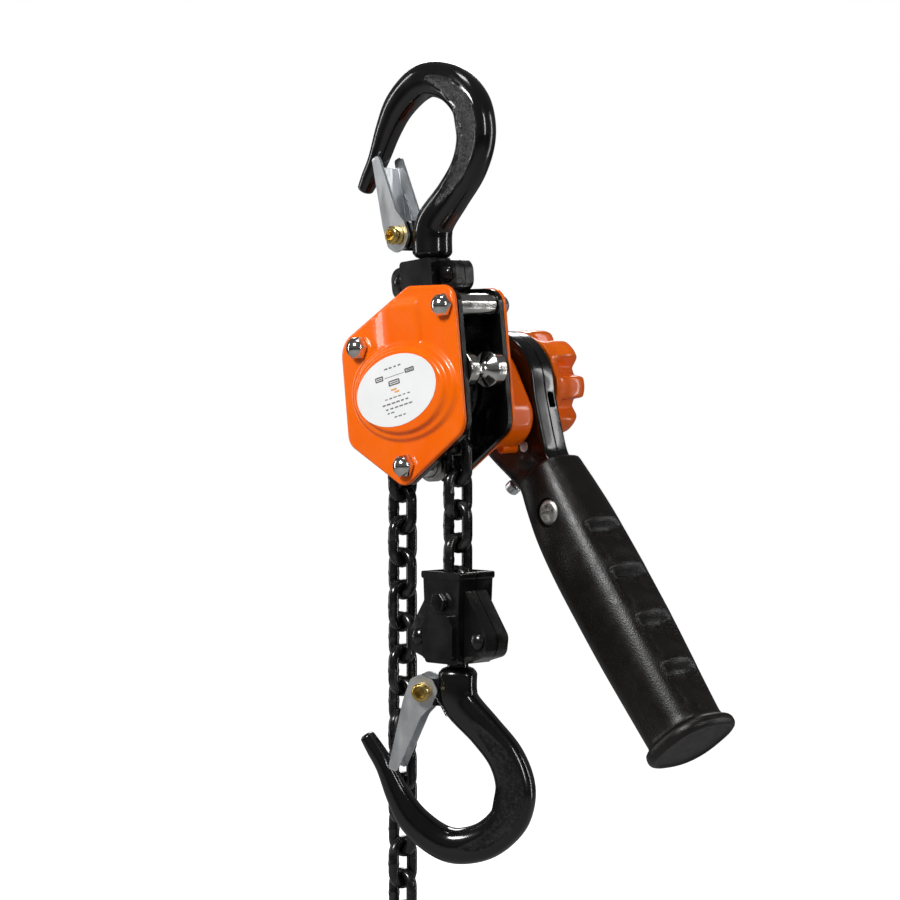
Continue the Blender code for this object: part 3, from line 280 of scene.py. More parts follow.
def cast_enamel():
    """The black paint where it lies over the rough casting, marked by the `cast` attribute."""
    look = Look("cast_enamel", Specular_IOR_Level=0.5, Coat_Weight=0.4, Coat_Roughness=0.05)
    cast = look.painted("cast")
    base = look.clouded(45, 4, (0.0022, 0.0022, 0.0024), (0.006, 0.0058, 0.0056))
    # patches of the rough casting are painted lighter grey: a painted sheen standing in for light caught by
    # the rough surface
    cast_sheen = look.math("MULTIPLY", cast, look.ranged(look.noise(900, 4), 0.45, 0.7, 0.0, 0.55))
    worn = look.math("MULTIPLY", look.edges(), look.ranged(look.noise(330, 3), 0.42, 0.62, 0.0, 0.3))
    # from here worn carries both the edge wear and the painted sheen of the casting
    worn = look.math("MAXIMUM", worn, look.math("MULTIPLY", cast_sheen, 0.5))
    look.colour(look.mixed(worn, base, (0.16, 0.155, 0.15)))
    enamel = look.ranged(look.noise(110, 5), 0.35, 0.68, 0.1, 0.24)
    look.roughness(look.math("ADD", enamel, look.math("MULTIPLY", cast, 0.16)))
    look.bump(
        (look.noise(300, 2), 0.06, 0.0006),
        (look.noise(1100, 5, 0.65), look.math("MULTIPLY", cast, 0.75), 0.0008),
    )
    return look.material


def orange_enamel():
    look = Look("orange_enamel", Specular_IOR_Level=0.25, Coat_Weight=0.3, Coat_Roughness=0.04)
    base = look.clouded(28, 3, (1.0, 0.138, 0.0008), (1.0, 0.168, 0.0015))
    patches = look.ranged(look.noise(420, 3), 0.5, 0.68, 0.0, 0.35)
    worn = look.math("MULTIPLY", look.edges(0.54, 0.66), patches)
    look.colour(look.mixed(worn, base, (1.0, 0.42, 0.12)))
    look.roughness(look.ranged(look.noise(140, 4), 0.35, 0.68, 0.2, 0.34))
    look.bump((look.noise(330, 2), 0.05, 0.0005), (look.noise(1300, 2), 0.02, 0.0001))
    return look.material


def metal(name, dark, light, smooth, rough, scale=160, grain=0.08, stretch=None, tarnish=None):
    """Bare or plated metal: cloudy colour, uneven polish and a fine grain."""
    look = Look(name, Metallic=1.0)
    vector = look.stretched(stretch) if stretch else None
    base = look.mixed(look.ranged(look.noise(scale, 5, 0.6), 0.32, 0.68, 0, 1), dark, light)
    if tarnish:
        base = look.mixed(look.ranged(look.noise(70, 4), 0.55, 0.72, 0, 0.7), base, tarnish)
    look.colour(base)
    look.roughness(look.ranged(look.noise(scale * 1.7, 5, 0.6, vector), 0.3, 0.7, smooth, rough))
    look.bump((look.noise(scale * 7, 3, 0.6, vector), grain, 0.0002),
              (look.noise(scale * 1.3, 2), 0.06, 0.0004))
    return look.material


def grip_plastic():
    look = Look("grip_plastic", Specular_IOR_Level=0.46)
    base = look.clouded(60, 4, (0.0026, 0.0015, 0.0011), (0.006, 0.0036, 0.0026))
    rubbed = look.math("MULTIPLY", look.edges(0.52, 0.6), 0.35)
    look.colour(look.mixed(rubbed, base, (0.035, 0.03, 0.026)))
    look.roughness(look.ranged(look.noise(260, 4), 0.35, 0.65, 0.33, 0.42))
    look.bump((look.cells(1500), 0.22, 0.0002), (look.noise(2600, 3, 0.6), 0.28, 0.0002))
    return look.material


def chain_black():
    look = Look("chain_black", Specular_IOR_Level=0.5, Coat_Weight=0.3, Coat_Roughness=0.1)
    base = look.clouded(130, 4, (0.0022, 0.0022, 0.0024), (0.0085, 0.0082, 0.008))
    worn = look.math("MULTIPLY", look.edges(0.51, 0.56), look.ranged(look.noise(300, 4), 0.5, 0.7, 0, 0.3))
    look.colour(look.mixed(worn, base, (0.12, 0.115, 0.11)))
    look.roughness(look.ranged(look.noise(210, 5), 0.35, 0.68, 0.15, 0.33))
    look.bump((look.noise(520, 3), 0.1, 0.0004), (look.noise(160, 2), 0.08, 0.0008))
    return look.material


def friction_lining():
    look = Look("friction_lining", Specular_IOR_Level=0.2)
    flecks = look.ranged(look.cells(900), 0.1, 0.5, 0, 1)
    look.colour(look.mixed(flecks, (0.3, 0.19, 0.08), (0.075, 0.055, 0.04)))
    look.roughness(look.ranged(look.noise(300, 4), 0.3, 0.7, 0.75, 0.95))
    look.bump((look.cells(900), 0.3, 0.0003), (look.noise(1400, 3), 0.2, 0.0002))
    return look.material


def label_paper():
    look = Look("label_paper", Specular_IOR_Level=0.4, Coat_Weight=0.2, Coat_Roughness=0.1)
    look.colour(look.clouded(90, 4, (0.98, 0.98, 0.98), (0.92, 0.925, 0.93)))
    look.roughness(look.ranged(look.noise(200, 3), 0.3, 0.7, 0.28, 0.4))
    look.bump((look.noise(700, 3), 0.04, 0.0002), (look.noise(90, 2), 0.03, 0.001))
    return look.material


def ink(name, dark, light):
    look = Look(name, Specular_IOR_Level=0.3)
    look.colour(look.mixed(look.ranged(look.noise(1600, 3), 0.35, 0.65, 0, 1), dark, light))
    look.roughness(look.ranged(look.noise(900, 3), 0.3, 0.7, 0.35, 0.55))
    look.bump((look.noise(2000, 2), 0.05, 0.0001))
    return look.material


LOOKS = {
    "black_enamel": black_enamel(),
    "satin_enamel": black_enamel("satin_enamel", 0.24, 0.36),
    "cast_enamel": cast_enamel(),
    "orange_enamel": orange_enamel(),
    "chrome_plate": metal("chrome_plate", (0.62, 0.61, 0.58), (0.84, 0.83, 0.8), 0.08, 0.2, 130, 0.05),
    "dull_chrome": metal("dull_chrome", (0.62, 0.6, 0.57), (0.8, 0.78, 0.75), 0.3, 0.45, 130, 0.08),
    "bare_steel": metal("bare_steel", (0.3, 0.3, 0.29), (0.5, 0.5, 0.49), 0.26, 0.42, 150, 0.15, (1, 0.12, 1),
                        (0.2, 0.17, 0.13)),
    "spring_steel": metal("spring_steel", (0.28, 0.28, 0.29), (0.46, 0.46, 0.47), 0.2, 0.34, 300, 0.1),
    "zinc_plate": metal("zinc_plate", (0.74, 0.77, 0.8), (0.92, 0.94, 0.96), 0.3, 0.46, 110, 0.12,
                        (1, 1, 0.25)),
    "yellow_zinc": metal("yellow_zinc", (0.62, 0.38, 0.07), (0.85, 0.66, 0.26), 0.18, 0.34, 170, 0.08, None,
                         (0.55, 0.45, 0.2)),
    "bronze": metal("bronze", (0.36, 0.2, 0.07), (0.58, 0.38, 0.16), 0.3, 0.5, 200, 0.15),
    "friction_lining": friction_lining(),
    "grip_plastic": grip_plastic(),
    "black_chain": chain_black(),
    "label_paper": label_paper(),
    "ink": ink("label_ink", (0.035, 0.032, 0.03), (0.10, 0.095, 0.09)),
    "grey_ink": ink("label_grey", (0.10, 0.10, 0.10), (0.22, 0.22, 0.21)),
    "amber_ink": ink("label_amber", (0.85, 0.33, 0.05), (0.9, 0.5, 0.15)),
}


# ---------------------------------------------------------------- outlines


def arc(centre, radius, start, stop, steps):
    points = []
    for i in range(steps + 1):
        angle = math.radians(start + (stop - start) * i / steps)
        points.append((centre[0] + radius * math.cos(angle), centre[1] + radius * math.sin(angle)))
    return points


def circle(centre, radius, sides=48):
    return arc(centre, radius, 0, 360, sides)[:-1]


def rounded(corners, steps=8):
    """A closed outline from (x, z, radius) corners, each rounded by an arc."""
    points = []
    count = len(corners)
    for i, (x, z, radius) in enumerate(corners):
        here = Vector((x, z))
        before = (Vector(corners[i - 1][:2]) - here).normalized()
        after = (Vector(corners[(i + 1) % count][:2]) - here).normalized()
        half = before.angle(after) / 2
        centre = here + (before + after).normalized() * (radius / math.sin(half))
        first = here + before * (radius / math.tan(half)) - centre
        last = here + after * (radius / math.tan(half)) - centre
        start = math.atan2(first.y, first.x)
        sweep = (math.atan2(last.y, last.x) - start + math.pi) % (2 * math.pi) - math.pi
        for j in range(steps + 1):
            angle = start + sweep * j / steps
            points.append((centre.x + radius * math.cos(angle), centre.y + radius * math.sin(angle)))
    return points


def grown(corners, by):
    """The same (x, z, radius) corners moved outwards by an offset, or inwards by a negative one."""
    moved = []
    count = len(corners)
    turning = sum(
        corners[i - 1][0] * corners[i][1] - corners[i][0] * corners[i - 1][1] for i in range(count)
    )
    side = 1 if turning < 0 else -1
    for i, (x, z, radius) in enumerate(corners):
        before = (Vector((x, z)) - Vector(corners[i - 1][:2])).normalized()
        after = (Vector(corners[(i + 1) % count][:2]) - Vector((x, z))).normalized()
        normal_in = Vector((-before.y, before.x)) * side
        normal_out = Vector((-after.y, after.x)) * side
        middle = (normal_in + normal_out).normalized()
        reach = by / middle.dot(normal_in)
        moved.append((x + middle.x * reach, z + middle.y * reach, max(radius + by, 0.3)))
    return moved


def polar(radius, angle):
    return (radius * math.cos(math.radians(angle)), radius * math.sin(math.radians(angle)))


def eased(rows, per):
    """Rows of numbers with smooth ones between them, along a curve through all of them."""
    made = []
    for i in range(len(rows) - 1):
        four = [rows[max(i - 1, 0)], rows[i], rows[i + 1], rows[min(i + 2, len(rows) - 1)]]
        for step in range(per):
            t = step / per
            made.append(tuple(
                0.5 * (2 * b + (c - a) * t + (2 * a - 5 * b + 4 * c - d) * t * t
                       + (3 * b - a - 3 * c + d) * t ** 3)
                for a, b, c, d in zip(*four)
            ))
    made.append(tuple(rows[-1]))
    return made


def step_up(value, low, high):
    """0 below low, 1 above high, and smooth between."""
    t = min(max((value - low) / (high - low), 0.0), 1.0)
    return t * t * (3 - 2 * t)


def resampled(points, count):
    """A closed outline as `count` points at equal distances."""
    spots = [Vector(p) for p in points]
    lengths = [(spots[(i + 1) % len(spots)] - spots[i]).length for i in range(len(spots))]
    total = sum(lengths)
    made, i, gone = [], 0, 0.0
    for k in range(count):
        want = total * k / count
        while gone + lengths[i] < want:
            gone += lengths[i]
            i += 1
        share = (want - gone) / lengths[i]
        made.append(spots[i].lerp(spots[(i + 1) % len(spots)], share))
    return made


# ---------------------------------------------------------------- solids


def ended(name, bm):
    """The finished mesh of a bmesh, which is freed."""
    mesh = bpy.data.meshes.new(name)
    bm.to_mesh(mesh)
    bm.free()
    return mesh


def turns(sides, shift=0):
    """Equal steps once round, in radians."""
    return [2 * math.pi * (k + shift) / sides for k in range(sides)]


def solid(name, mesh):
    """A working object with its doubled points welded and its faces turned outwards."""
    bm = bmesh.new()
    bm.from_mesh(mesh)
    bmesh.ops.remove_doubles(bm, verts=bm.verts, dist=0.0005)
    bmesh.ops.recalc_face_normals(bm, faces=bm.faces)
    bm.to_mesh(mesh)
    bm.free()
    made = bpy.data.objects.new(f"raw_{name}", mesh)
    WORK.objects.link(made)
    return made


def settled(source):
    """The object with its modifiers applied, and the helpers of its Booleans gone."""
    helpers = [step.object for step in source.modifiers if step.type == "BOOLEAN"]
    if source.modifiers:
        bpy.context.view_layer.update()
        graph = bpy.context.evaluated_depsgraph_get()
        mesh = bpy.data.meshes.new_from_object(source.evaluated_get(graph))
        source.modifiers.clear()
        source.data = mesh
    for helper in helpers:
        bpy.data.objects.remove(helper, do_unlink=True)
    return source


def bevelled(source, width, segments=3, angle=32):
    settled(source)
    step = source.modifiers.new("bevel", "BEVEL")
    step.width = width
    step.segments = segments
    step.limit_method = "ANGLE"
    step.angle_limit = math.radians(angle)
    return settled(source)


def prism(name, outlines, low, high, bevel=0.0, segments=3):
    """A flat outline in the XZ plane, with any holes as further outlines, from low to high in Y."""
    curve = bpy.data.curves.new(name, "CURVE")
    curve.dimensions = "2D"
    curve.fill_mode = "BOTH"
    curve.extrude = (high - low) / 2
    for points in outlines:
        spline = curve.splines.new("POLY")
        spline.points.add(len(points) - 1)
        for point, (x, z) in zip(spline.points, points, strict=True):
            point.co = (x, z, 0, 1)
        spline.use_cyclic_u = True
    source = bpy.data.objects.new(name, curve)
    WORK.objects.link(source)
    source.rotation_euler = (math.pi / 2, 0, 0)
    source.location = (0, (low + high) / 2, 0)
    bpy.context.view_layer.update()
    mesh = bpy.data.meshes.new_from_object(source.evaluated_get(bpy.context.evaluated_depsgraph_get()))
    mesh.transform(source.matrix_world)
    bpy.data.objects.remove(source, do_unlink=True)
    made = solid(name, mesh)
    return bevelled(made, bevel, segments) if bevel else made


AXES = {
    "Y": Matrix.Rotation(-math.pi / 2, 4, "X"),
    "X": Matrix.Rotation(math.pi / 2, 4, "Y"),
    "Z": Matrix.Identity(4),
}


def skin(bm, first, second):
    """Four-sided faces between two rings of points."""
    count = len(first)
    for i in range(count):
        j = (i + 1) % count
        bm.faces.new((first[i], first[j], second[j], second[i]))


def loft(name, rings, closed=False):
    """Skin over rings of equal point counts; the ends are capped unless the loft closes on itself."""
    bm = bmesh.new()
    rows = [[bm.verts.new(point) for point in ring] for ring in rings]
    pairs = list(zip(rows, rows[1:]))
    if closed:
        pairs.append((rows[-1], rows[0]))
    for first, second in pairs:
        skin(bm, first, second)
    if not closed:
        bm.faces.new(rows[0])
        bm.faces.new(rows[-1])
    return solid(name, ended(name, bm))


def turned(name, profile, axis="Y", at=(0.0, 0.0, 0.0), sides=64, ring=False, soft=0.25):
    """A turned solid from (radius, height) points, with its corners broken by `soft`."""
    to = Matrix.Translation(at) @ AXES[axis]
    points = softened(profile, soft, ring)
    rings = []
    for radius, height in points:
        rings.append([to @ Vector((radius * math.cos(turn), radius * math.sin(turn), height))
                      for turn in turns(sides)])
    return loft(name, rings, closed=ring)


def softened(profile, radius, closed=False):
    """A profile with each corner cut back into a short curve; points on the axis stay."""
    if not radius:
        return list(profile)
    made = []
    count = len(profile)
    for i, here in enumerate(profile):
        if not closed and i in (0, count - 1):
            # a cap: keep the point a hair off the axis so that the end face stays flat
            made.append((max(here[0], 0.02), here[1]))
            continue
        p = Vector(here)
        a = Vector(profile[i - 1]) - p
        b = Vector(profile[(i + 1) % count]) - p
        back = min(radius, 0.42 * a.length, 0.42 * b.length)
        first, last = p + a.normalized() * back, p + b.normalized() * back
        for t in (0.0, 0.33, 0.67, 1.0):
            spot = first.lerp(p, t).lerp(p.lerp(last, t), t)
            made.append((spot.x, spot.y))
    return made


def rod(name, radius, low, high, at=(0.0, 0.0), sides=48, axis="Y", bevel=0.0):
    """A plain cylinder between two heights on its axis; at gives the other two coordinates."""
    place_at = {"Y": (at[0], 0, at[1]), "X": (0, at[0], at[1]), "Z": (at[0], at[1], 0)}[axis]
    bm = bmesh.new()
    bmesh.ops.create_cone(
        bm, cap_ends=True, segments=sides, radius1=radius, radius2=radius, depth=high - low
    )
    shift = Matrix.Translation((0, 0, (low + high) / 2))
    bmesh.ops.transform(bm, matrix=Matrix.Translation(place_at) @ AXES[axis] @ shift, verts=bm.verts)
    made = solid(name, ended(name, bm))
    return bevelled(made, bevel) if bevel else made


def block(name, low, high, bevel=0.0):
    """A box between two corners."""
    bm = bmesh.new()
    bmesh.ops.create_cube(bm, size=1)
    bmesh.ops.scale(bm, vec=[b - a for a, b in zip(low, high, strict=True)], verts=bm.verts)
    bmesh.ops.translate(bm, vec=[(a + b) / 2 for a, b in zip(low, high, strict=True)], verts=bm.verts)
    made = solid(name, ended(name, bm))
    return bevelled(made, bevel) if bevel else made


def spun(piece, degrees, x=0.0, z=0.0):
    """The piece turned about the line along Y through (x, z)."""
    centre = Matrix.Translation((x, 0, z))
    piece.data.transform(centre @ Matrix.Rotation(math.radians(degrees), 4, "Y") @ centre.inverted())
    return piece


def boolean(piece, others, operation):
    for other in others:
        other.hide_render = True
        step = piece.modifiers.new(operation.lower(), "BOOLEAN")
        step.operation = operation
        step.object = other
        step.solver = "EXACT"
    return piece


def cut(piece, *others):
    return boolean(piece, others, "DIFFERENCE")


def join(piece, *others):
    return boolean(piece, others, "UNION")


def merged(name, pieces):
    """Separate solids that touch, as one object."""
    bm = bmesh.new()
    for piece in pieces:
        bm.from_mesh(settled(piece).data)
        bpy.data.objects.remove(piece, do_unlink=True)
    made = bpy.data.objects.new(f"raw_{name}", ended(name, bm))
    WORK.objects.link(made)
    return made


def place(name, piece, where, look, nodes=None, body=None, smooth=38):
    """Turn a finished piece into metres, put it on its body, and let it stand for its CAD nodes."""
    nodes = (name,) if nodes is None else nodes
    settled(piece)
    mesh = piece.data
    mesh.transform(where)
    bpy.data.objects.remove(piece, do_unlink=True)
    for vertex in mesh.vertices:
        spot = vertex.co * MM
        # only rounding is held back by the CAD's box: no point lies 0.1 micrometres outside it
        vertex.co = [min(max(v, low), high) for v, low, high in zip(spot, cad_low, cad_high)]
    mesh.materials.clear()
    mesh.materials.append(LOOKS[look])
    mesh.shade_smooth()
    mesh.set_sharp_from_angle(angle=math.radians(smooth))
    made = bpy.data.objects.new(f"fine_{name}", mesh)
    bpy.context.scene.collection.objects.link(made)
    level = made.modifiers.new("normals", "WEIGHTED_NORMAL")
    level.keep_sharp = True
    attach(made, body or BODY_OF[nodes[0]])
    if nodes:
        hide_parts(*nodes)
    return made


# ---------------------------------------------------------------- chain


def link(name, centre, along, across, sides=14, bend_steps=12):
    """One link of round wire, with the slight swelling of its weld halfway down one side."""
    along = Vector(along).normalized()
    across = Vector(across).normalized()
    normal = along.cross(across)
    straight = PITCH / 2 + WIRE_R - LINK_BEND_R
    stops = []
    for end in (1, -1):
        for i in range(bend_steps + 1):
            angle = math.pi * i / bend_steps
            outward = across * (math.cos(angle) * end) + along * (math.sin(angle) * end)
            stops.append((Vector(centre) + along * (straight * end) + outward * LINK_BEND_R, outward, WIRE_R))
        for share, swell in ((0.3, 0.0), (0.42, 0.12), (0.5, 0.16), (0.58, 0.12), (0.7, 0.0)):
            outward = across * -end
            height = straight * end * (1 - 2 * share)
            middle = Vector(centre) + along * height + outward * LINK_BEND_R
            stops.append((middle, outward, WIRE_R + (swell if end > 0 else 0)))
    rings = []
    for middle, outward, radius in stops:
        rings.append([middle + (outward * math.cos(turn) + normal * math.sin(turn)) * radius
                      for turn in turns(sides)])
    return loft(name, rings, closed=True)


def strand(name, x, first_z, count):
    """A straight run of links, downwards, the first one standing across the view from the front."""
    return [
        link(f"{name}_{i}", (x, 0, first_z - i * PITCH), (0, 0, -1), (1, 0, 0) if i % 2 == 0 else (0, 1, 0))
        for i in range(count)
    ]


def chains():
    wrap = []
    for i in range(1, 4):
        angle = math.radians(FIRST_LINK + i * LINK_ANGLE)
        outward = Vector((math.cos(angle), 0, math.sin(angle)))
        along = Vector((-math.sin(angle), 0, math.cos(angle)))
        wrap.append(link(f"wrap_{i}", outward * SHEAVE_REACH, along, (0, 1, 0) if i % 2 else outward))
    wrap += strand("load_upper", LOAD_X, LOAD_FIRST_Z, 2) + strand("tail_upper", TAIL_X, TAIL_FIRST_Z, 2)
    place("chain_over_sheave", merged("wrap", wrap), TO_SHAFT, "black_chain")
    load = strand("load", LOAD_X, LOAD_FIRST_Z - 2 * PITCH + PIVOT_GAP, LOAD_LINKS)
    place("load_chain", merged("load", load), TO_SHAFT, "black_chain")
    tail = strand("tail", TAIL_X, TAIL_FIRST_Z - 2 * PITCH + PIVOT_GAP, TAIL_LINKS)
    place("tail_chain", merged("tail", tail), TO_SHAFT, "black_chain")


# ---------------------------------------------------------------- hooks

HOOK_SIDES = 56
RECESS_FROM, RECESS_TO = 2.5, 8.9  # in HOOK_SECTIONS, along the back of the hook
RECESS_SHARE = 0.58  # of the hook's width


def oval(centre, across, width, thickness, recess=0.0, seed=0.0, depth_of_recess=0.0):
    """A ring in the plane of `across` and Y; recess is how much of the flank is dented, 0 to 1."""
    points = []
    for turn in turns(HOOK_SIDES, 0.5):
        c, s = math.cos(turn), math.sin(turn)
        flat = (abs(c) ** 3 + abs(s) ** 3) ** (-1 / 3)
        reach = (1 + flat) / 2
        share = abs(c * reach)
        dent = 0.0
        if recess:
            edge = RECESS_SHARE * recess
            inside = 1 - step_up(share, edge - 0.1, edge + 0.04)
            dent = depth_of_recess * step_up(recess, 0.05, 0.5) * inside
        side = Vector((across[0], 0, across[1])) * (c * reach * width / 2)
        depth = s * reach * thickness / 2
        spot = Vector((centre[0], 0, centre[1])) + side + Vector((0, depth, 0))
        if dent:
            rough = noise.noise(spot * 0.9 + Vector((seed, 0, 0))) * 0.2 + noise.noise(spot * 2.1) * 0.12
            spot.y -= math.copysign(dent * (1 + rough), depth)
        points.append(spot)
    return points


def hook(name, seed, recess_depth):
    rings = []
    collar = (
        (COLLAR_TO, COLLAR_R - 0.5), (COLLAR_TO - 0.5, COLLAR_R), (COLLAR_FROM + 0.2, COLLAR_R),
        (COLLAR_FROM, COLLAR_R - 0.3), (COLLAR_FROM, NECK_R), (HOOK_SHOULDER + 0.3, NECK_R),
        (HOOK_SHOULDER, NECK_R + 0.3), (HOOK_SHOULDER, 4.6), (HOOK_SHOULDER - 0.5, 5.7),
        (HOOK_SHOULDER - 1.4, 6.5),
    )
    for z, radius in collar:
        rings.append(oval((0, z), (1, 0), radius * 2, radius * 2))
    per = 9
    sections = eased(HOOK_SECTIONS, per)
    marks = []
    for i, (x, z, width, thickness) in enumerate(sections):
        ahead = Vector(sections[min(i + 1, len(sections) - 1)][:2])
        behind = Vector(sections[max(i - 1, 0)][:2])
        run = (ahead - behind).normalized()
        share = (i / per - RECESS_FROM) / (RECESS_TO - RECESS_FROM)
        recess = math.sin(math.pi * share) ** 0.7 if 0 < share < 1 else 0.0
        if 0 < share < 1:
            marks.append((Vector((x, z)), width * 0.5 * RECESS_SHARE * recess))
        rings.append(oval((x, z), (-run.y, run.x), width, thickness, recess, seed, recess_depth))
    x, z, width, thickness = sections[-1]
    run = (Vector((x, z)) - Vector(sections[-2][:2])).normalized()
    for ahead, scale in ((0.4, 0.95), (0.8, 0.8), (1.1, 0.55), (1.2, 0.2)):
        spot = Vector((x, z)) + run * ahead
        rings.append(oval(spot, (-run.y, run.x), width * scale, thickness * scale))
    body = loft(name, rings)
    x, z = LATCH_PIVOT
    lug = prism(f"{name}_lug", [rounded([(x - 4.6, z + 4.6, 4.4), (0, z + 4.6, 0.5),
                                         (0, z - 5.6, 0.5), (x - 4.6, z - 4.6, 4.4)], 10)], -4.6, 4.6, 0.6)
    join(body, lug)
    cut(body, rod(f"{name}_latch_hole", 2.3, -9, 9, LATCH_PIVOT, 32))
    settled(body)
    cast = body.data.attributes.new("cast", "FLOAT", "POINT")
    values = []
    marks = [(spot, half) for spot, half in marks if half > 0.5]
    for vertex in body.data.vertices:
        here = Vector((vertex.co.x, vertex.co.z))
        best = max(1 - step_up((here - spot).length, half - 0.2, half + 0.6) for spot, half in marks)
        values.append(best * recess_depth if abs(vertex.co.y) > 3.6 else 0.0)
    cast.data.foreach_set("value", values)
    return body


def latch(name):
    """Pressed channel: two flanges on the pivot, joined by a web on the outer side."""
    x0, z0 = LATCH_PIVOT
    x1, z1 = LATCH_FOOT
    run = Vector((x1 - x0, z1 - z0)).normalized()
    out = Vector((run.y, -run.x))

    def at(down, side):
        spot = Vector((x0, z0)) + run * down + out * side
        return (spot.x, spot.y)

    length = (Vector(LATCH_FOOT) - Vector(LATCH_PIVOT)).length
    corners = [(-5.6, 3.4, 2.0), (-5.6, -1.5, 2.5), (-2.6, -5.0, 2.5), (3.2, -5.0, 2.0),
               (9, -2.7, 6.0), (length, -2.3, 1.2), (length, 1.2, 1.0), (length - 4, 1.9, 3.0),
               (6, 5.7, 5.0), (-2.4, 6.2, 2.5)]
    flank = rounded([(*at(down, side), radius) for down, side, radius in corners], 6)
    body = prism(name, [flank], -LATCH_HALF, LATCH_HALF, 0.55, 3)
    inner = LATCH_HALF - LATCH_SHEET
    open_end = length - 3.4
    hollow = [at(-9, 5.2), at(-9, -9), at(length + 4, -9), at(length + 4, 9), at(open_end, 9),
              at(open_end, 0.5), at(6, 4.6)]
    cut(body, prism(f"{name}_hollow", [hollow], -inner, inner, 0.3, 2))
    cut(body, rod(f"{name}_hole", 2.15, -9, 9, LATCH_PIVOT, 32))
    return body


def hex_outline(centre, across_corners, turn=0.0):
    return arc(centre, across_corners / 2, turn, turn + 360, 6)[:-1]


def hex_nut(name, centre, across_corners, bore, low, high):
    """A hexagon nut whose corners are turned off at both faces."""
    nut = prism(name, [hex_outline(centre, across_corners), circle(centre, bore, 40)], low, high)
    half = across_corners / 2
    tool = turned(f"{name}_chamfer", [(0, low - 0.2), (half * 0.82, low - 0.2), (half + 0.12, low + 0.9),
                                      (half + 0.12, high - 0.9), (half * 0.82, high + 0.2), (0, high + 0.2)],
                  at=(centre[0], 0, centre[1]), sides=60, soft=0)
    return boolean(nut, [tool], "INTERSECT")


def wire(name, points, radius, sides=10):
    """A round wire along points."""
    spots = [Vector(p) for p in eased(points, 3)]
    rings = []
    up = None
    for i, spot in enumerate(spots):
        run = (spots[min(i + 1, len(spots) - 1)] - spots[max(i - 1, 0)]).normalized()
        up = Vector((0.12, 1, 0.05)) if up is None else up
        up = (up - run * up.dot(run)).normalized()
        side = run.cross(up)
        rings.append([spot + (up * math.cos(turn) + side * math.sin(turn)) * radius for turn in turns(sides)])
    return loft(name, rings)


SPRING_WIRE_R = 0.3
SPRING_Y = -5.0


def latch_spring(name):
    """The spring's coil round the pivot, with the end that rests on the hook."""
    x, z = LATCH_PIVOT
    points = [(-2.9, -5.05, 41.6), (x + 5.2, -5.05, z - 2.9), (x + 3.1, -5.05, z - 1.0)]
    for i in range(15):
        angle = math.radians(-6) + 2 * math.pi * i / 19
        points.append((x + 3.0 * math.cos(angle), SPRING_Y, z + 3.0 * math.sin(angle)))
    return wire(name, points, SPRING_WIRE_R)


def latch_spring_end(name):
    """The spring's other end, which lies round the coil and moves with the latch."""
    x, z = LATCH_PIVOT
    points = []
    for degrees in (150, 170, 190, 210, 230):
        angle = math.radians(degrees)
        points.append((x + 3.75 * math.cos(angle), SPRING_Y, z + 3.75 * math.sin(angle)))
    foot = Vector(LATCH_FOOT) - Vector(LATCH_PIVOT)
    end = Vector(LATCH_PIVOT) + foot * 0.55 + Vector((-0.6, 0))
    points.append((end.x, SPRING_Y, end.y))
    return wire(name, points, SPRING_WIRE_R)


def hook_set(prefix, where, head, seed, recess_depth):
    place(f"{prefix}_hook", hook(f"{prefix}_hook", seed, recess_depth), where, "cast_enamel", smooth=42)
    place(f"{prefix}_latch", latch(f"{prefix}_latch"), where, "zinc_plate")
    x, z = LATCH_PIVOT
    face = LATCH_HALF + TOUCH
    profile = [(0, -face - 3.6), (2.7, -face - 3.6), (3.4, -face - 2.9), (3.4, -face), (2.0, -face),
               (2.0, face + 3.8), (1.6, face + 4.2), (0, face + 4.2)]
    socket = (-face - 4.5, -face - 1.0)
    seat = (face, face + 3.2)
    if head > 0:
        profile = [(r, -y) for r, y in reversed(profile)]
        socket = (-socket[1], -socket[0])
        seat = (-seat[1], -seat[0])
    bolt = turned(f"{prefix}_bolt", profile, at=(x, 0, z), sides=48)
    cut(bolt, prism(f"{prefix}_socket", [hex_outline((x, z), 4.0)], *socket))
    place(f"{prefix}_latch_bolt", bolt, where, "yellow_zinc")
    place(f"{prefix}_latch_nut", hex_nut(f"{prefix}_nut", (x, z), 7.8, 2.15, *seat), where, "yellow_zinc")
    place(f"{prefix}_latch_spring", latch_spring(f"{prefix}_spring"), where, "spring_steel")
    spring_end = latch_spring_end(f"{prefix}_latch_spring_end")
    place(
        f"{prefix}_latch_spring_end", spring_end, where, "spring_steel",
        nodes=(), body=f"{prefix}_latch",
    )


# ---------------------------------------------------------------- yokes

PARTING = 0.2
RIVET_R = 1.7
RIVET_HEAD_R = 3.1


def yoke_half(name, side, spec):
    """One pressed half of a hook yoke: side is -1 for the front half and +1 for the rear."""
    centre = spec["x"]
    depth = spec["ear_depth"]
    shell = prism(name, [rounded([(centre + x, z, r) for x, z, r in spec["ears"]], 6)], -depth, depth, 0.7)
    for i, (outline, bulge) in enumerate(spec["bulges"]):
        moved = rounded([(centre + x, z, r) for x, z, r in outline], 6)
        join(shell, prism(f"{name}_bulge_{i}", [moved], -bulge, bulge, spec["soft"][i], 4))
    for i, (low, high) in enumerate(spec["hollows"]):
        low = (centre + low[0], low[1], low[2])
        high = (centre + high[0], high[1], high[2])
        cut(shell, block(f"{name}_hollow_{i}", low, high, 0.6))
    neck_x, neck_low, neck_high = spec["neck"]
    cut(shell, rod(f"{name}_neck", NECK_R + 0.8, neck_low, neck_high, (neck_x, 0), 40, "Z"))
    x, z, radius = spec["pin"]
    cut(shell, rod(f"{name}_pin_hole", radius, -16, 16, (centre + x, z), 40))
    for i, (x, z) in enumerate(spec["rivets"]):
        cut(shell, rod(f"{name}_rivet_hole_{i}", RIVET_R + 0.3, -16, 16, (centre + x, z), 24))
    away = (-PARTING, 20) if side < 0 else (-20, PARTING)
    cut(shell, block(f"{name}_other_half", (centre - 30, away[0], -130), (centre + 30, away[1], 60)))
    return shell


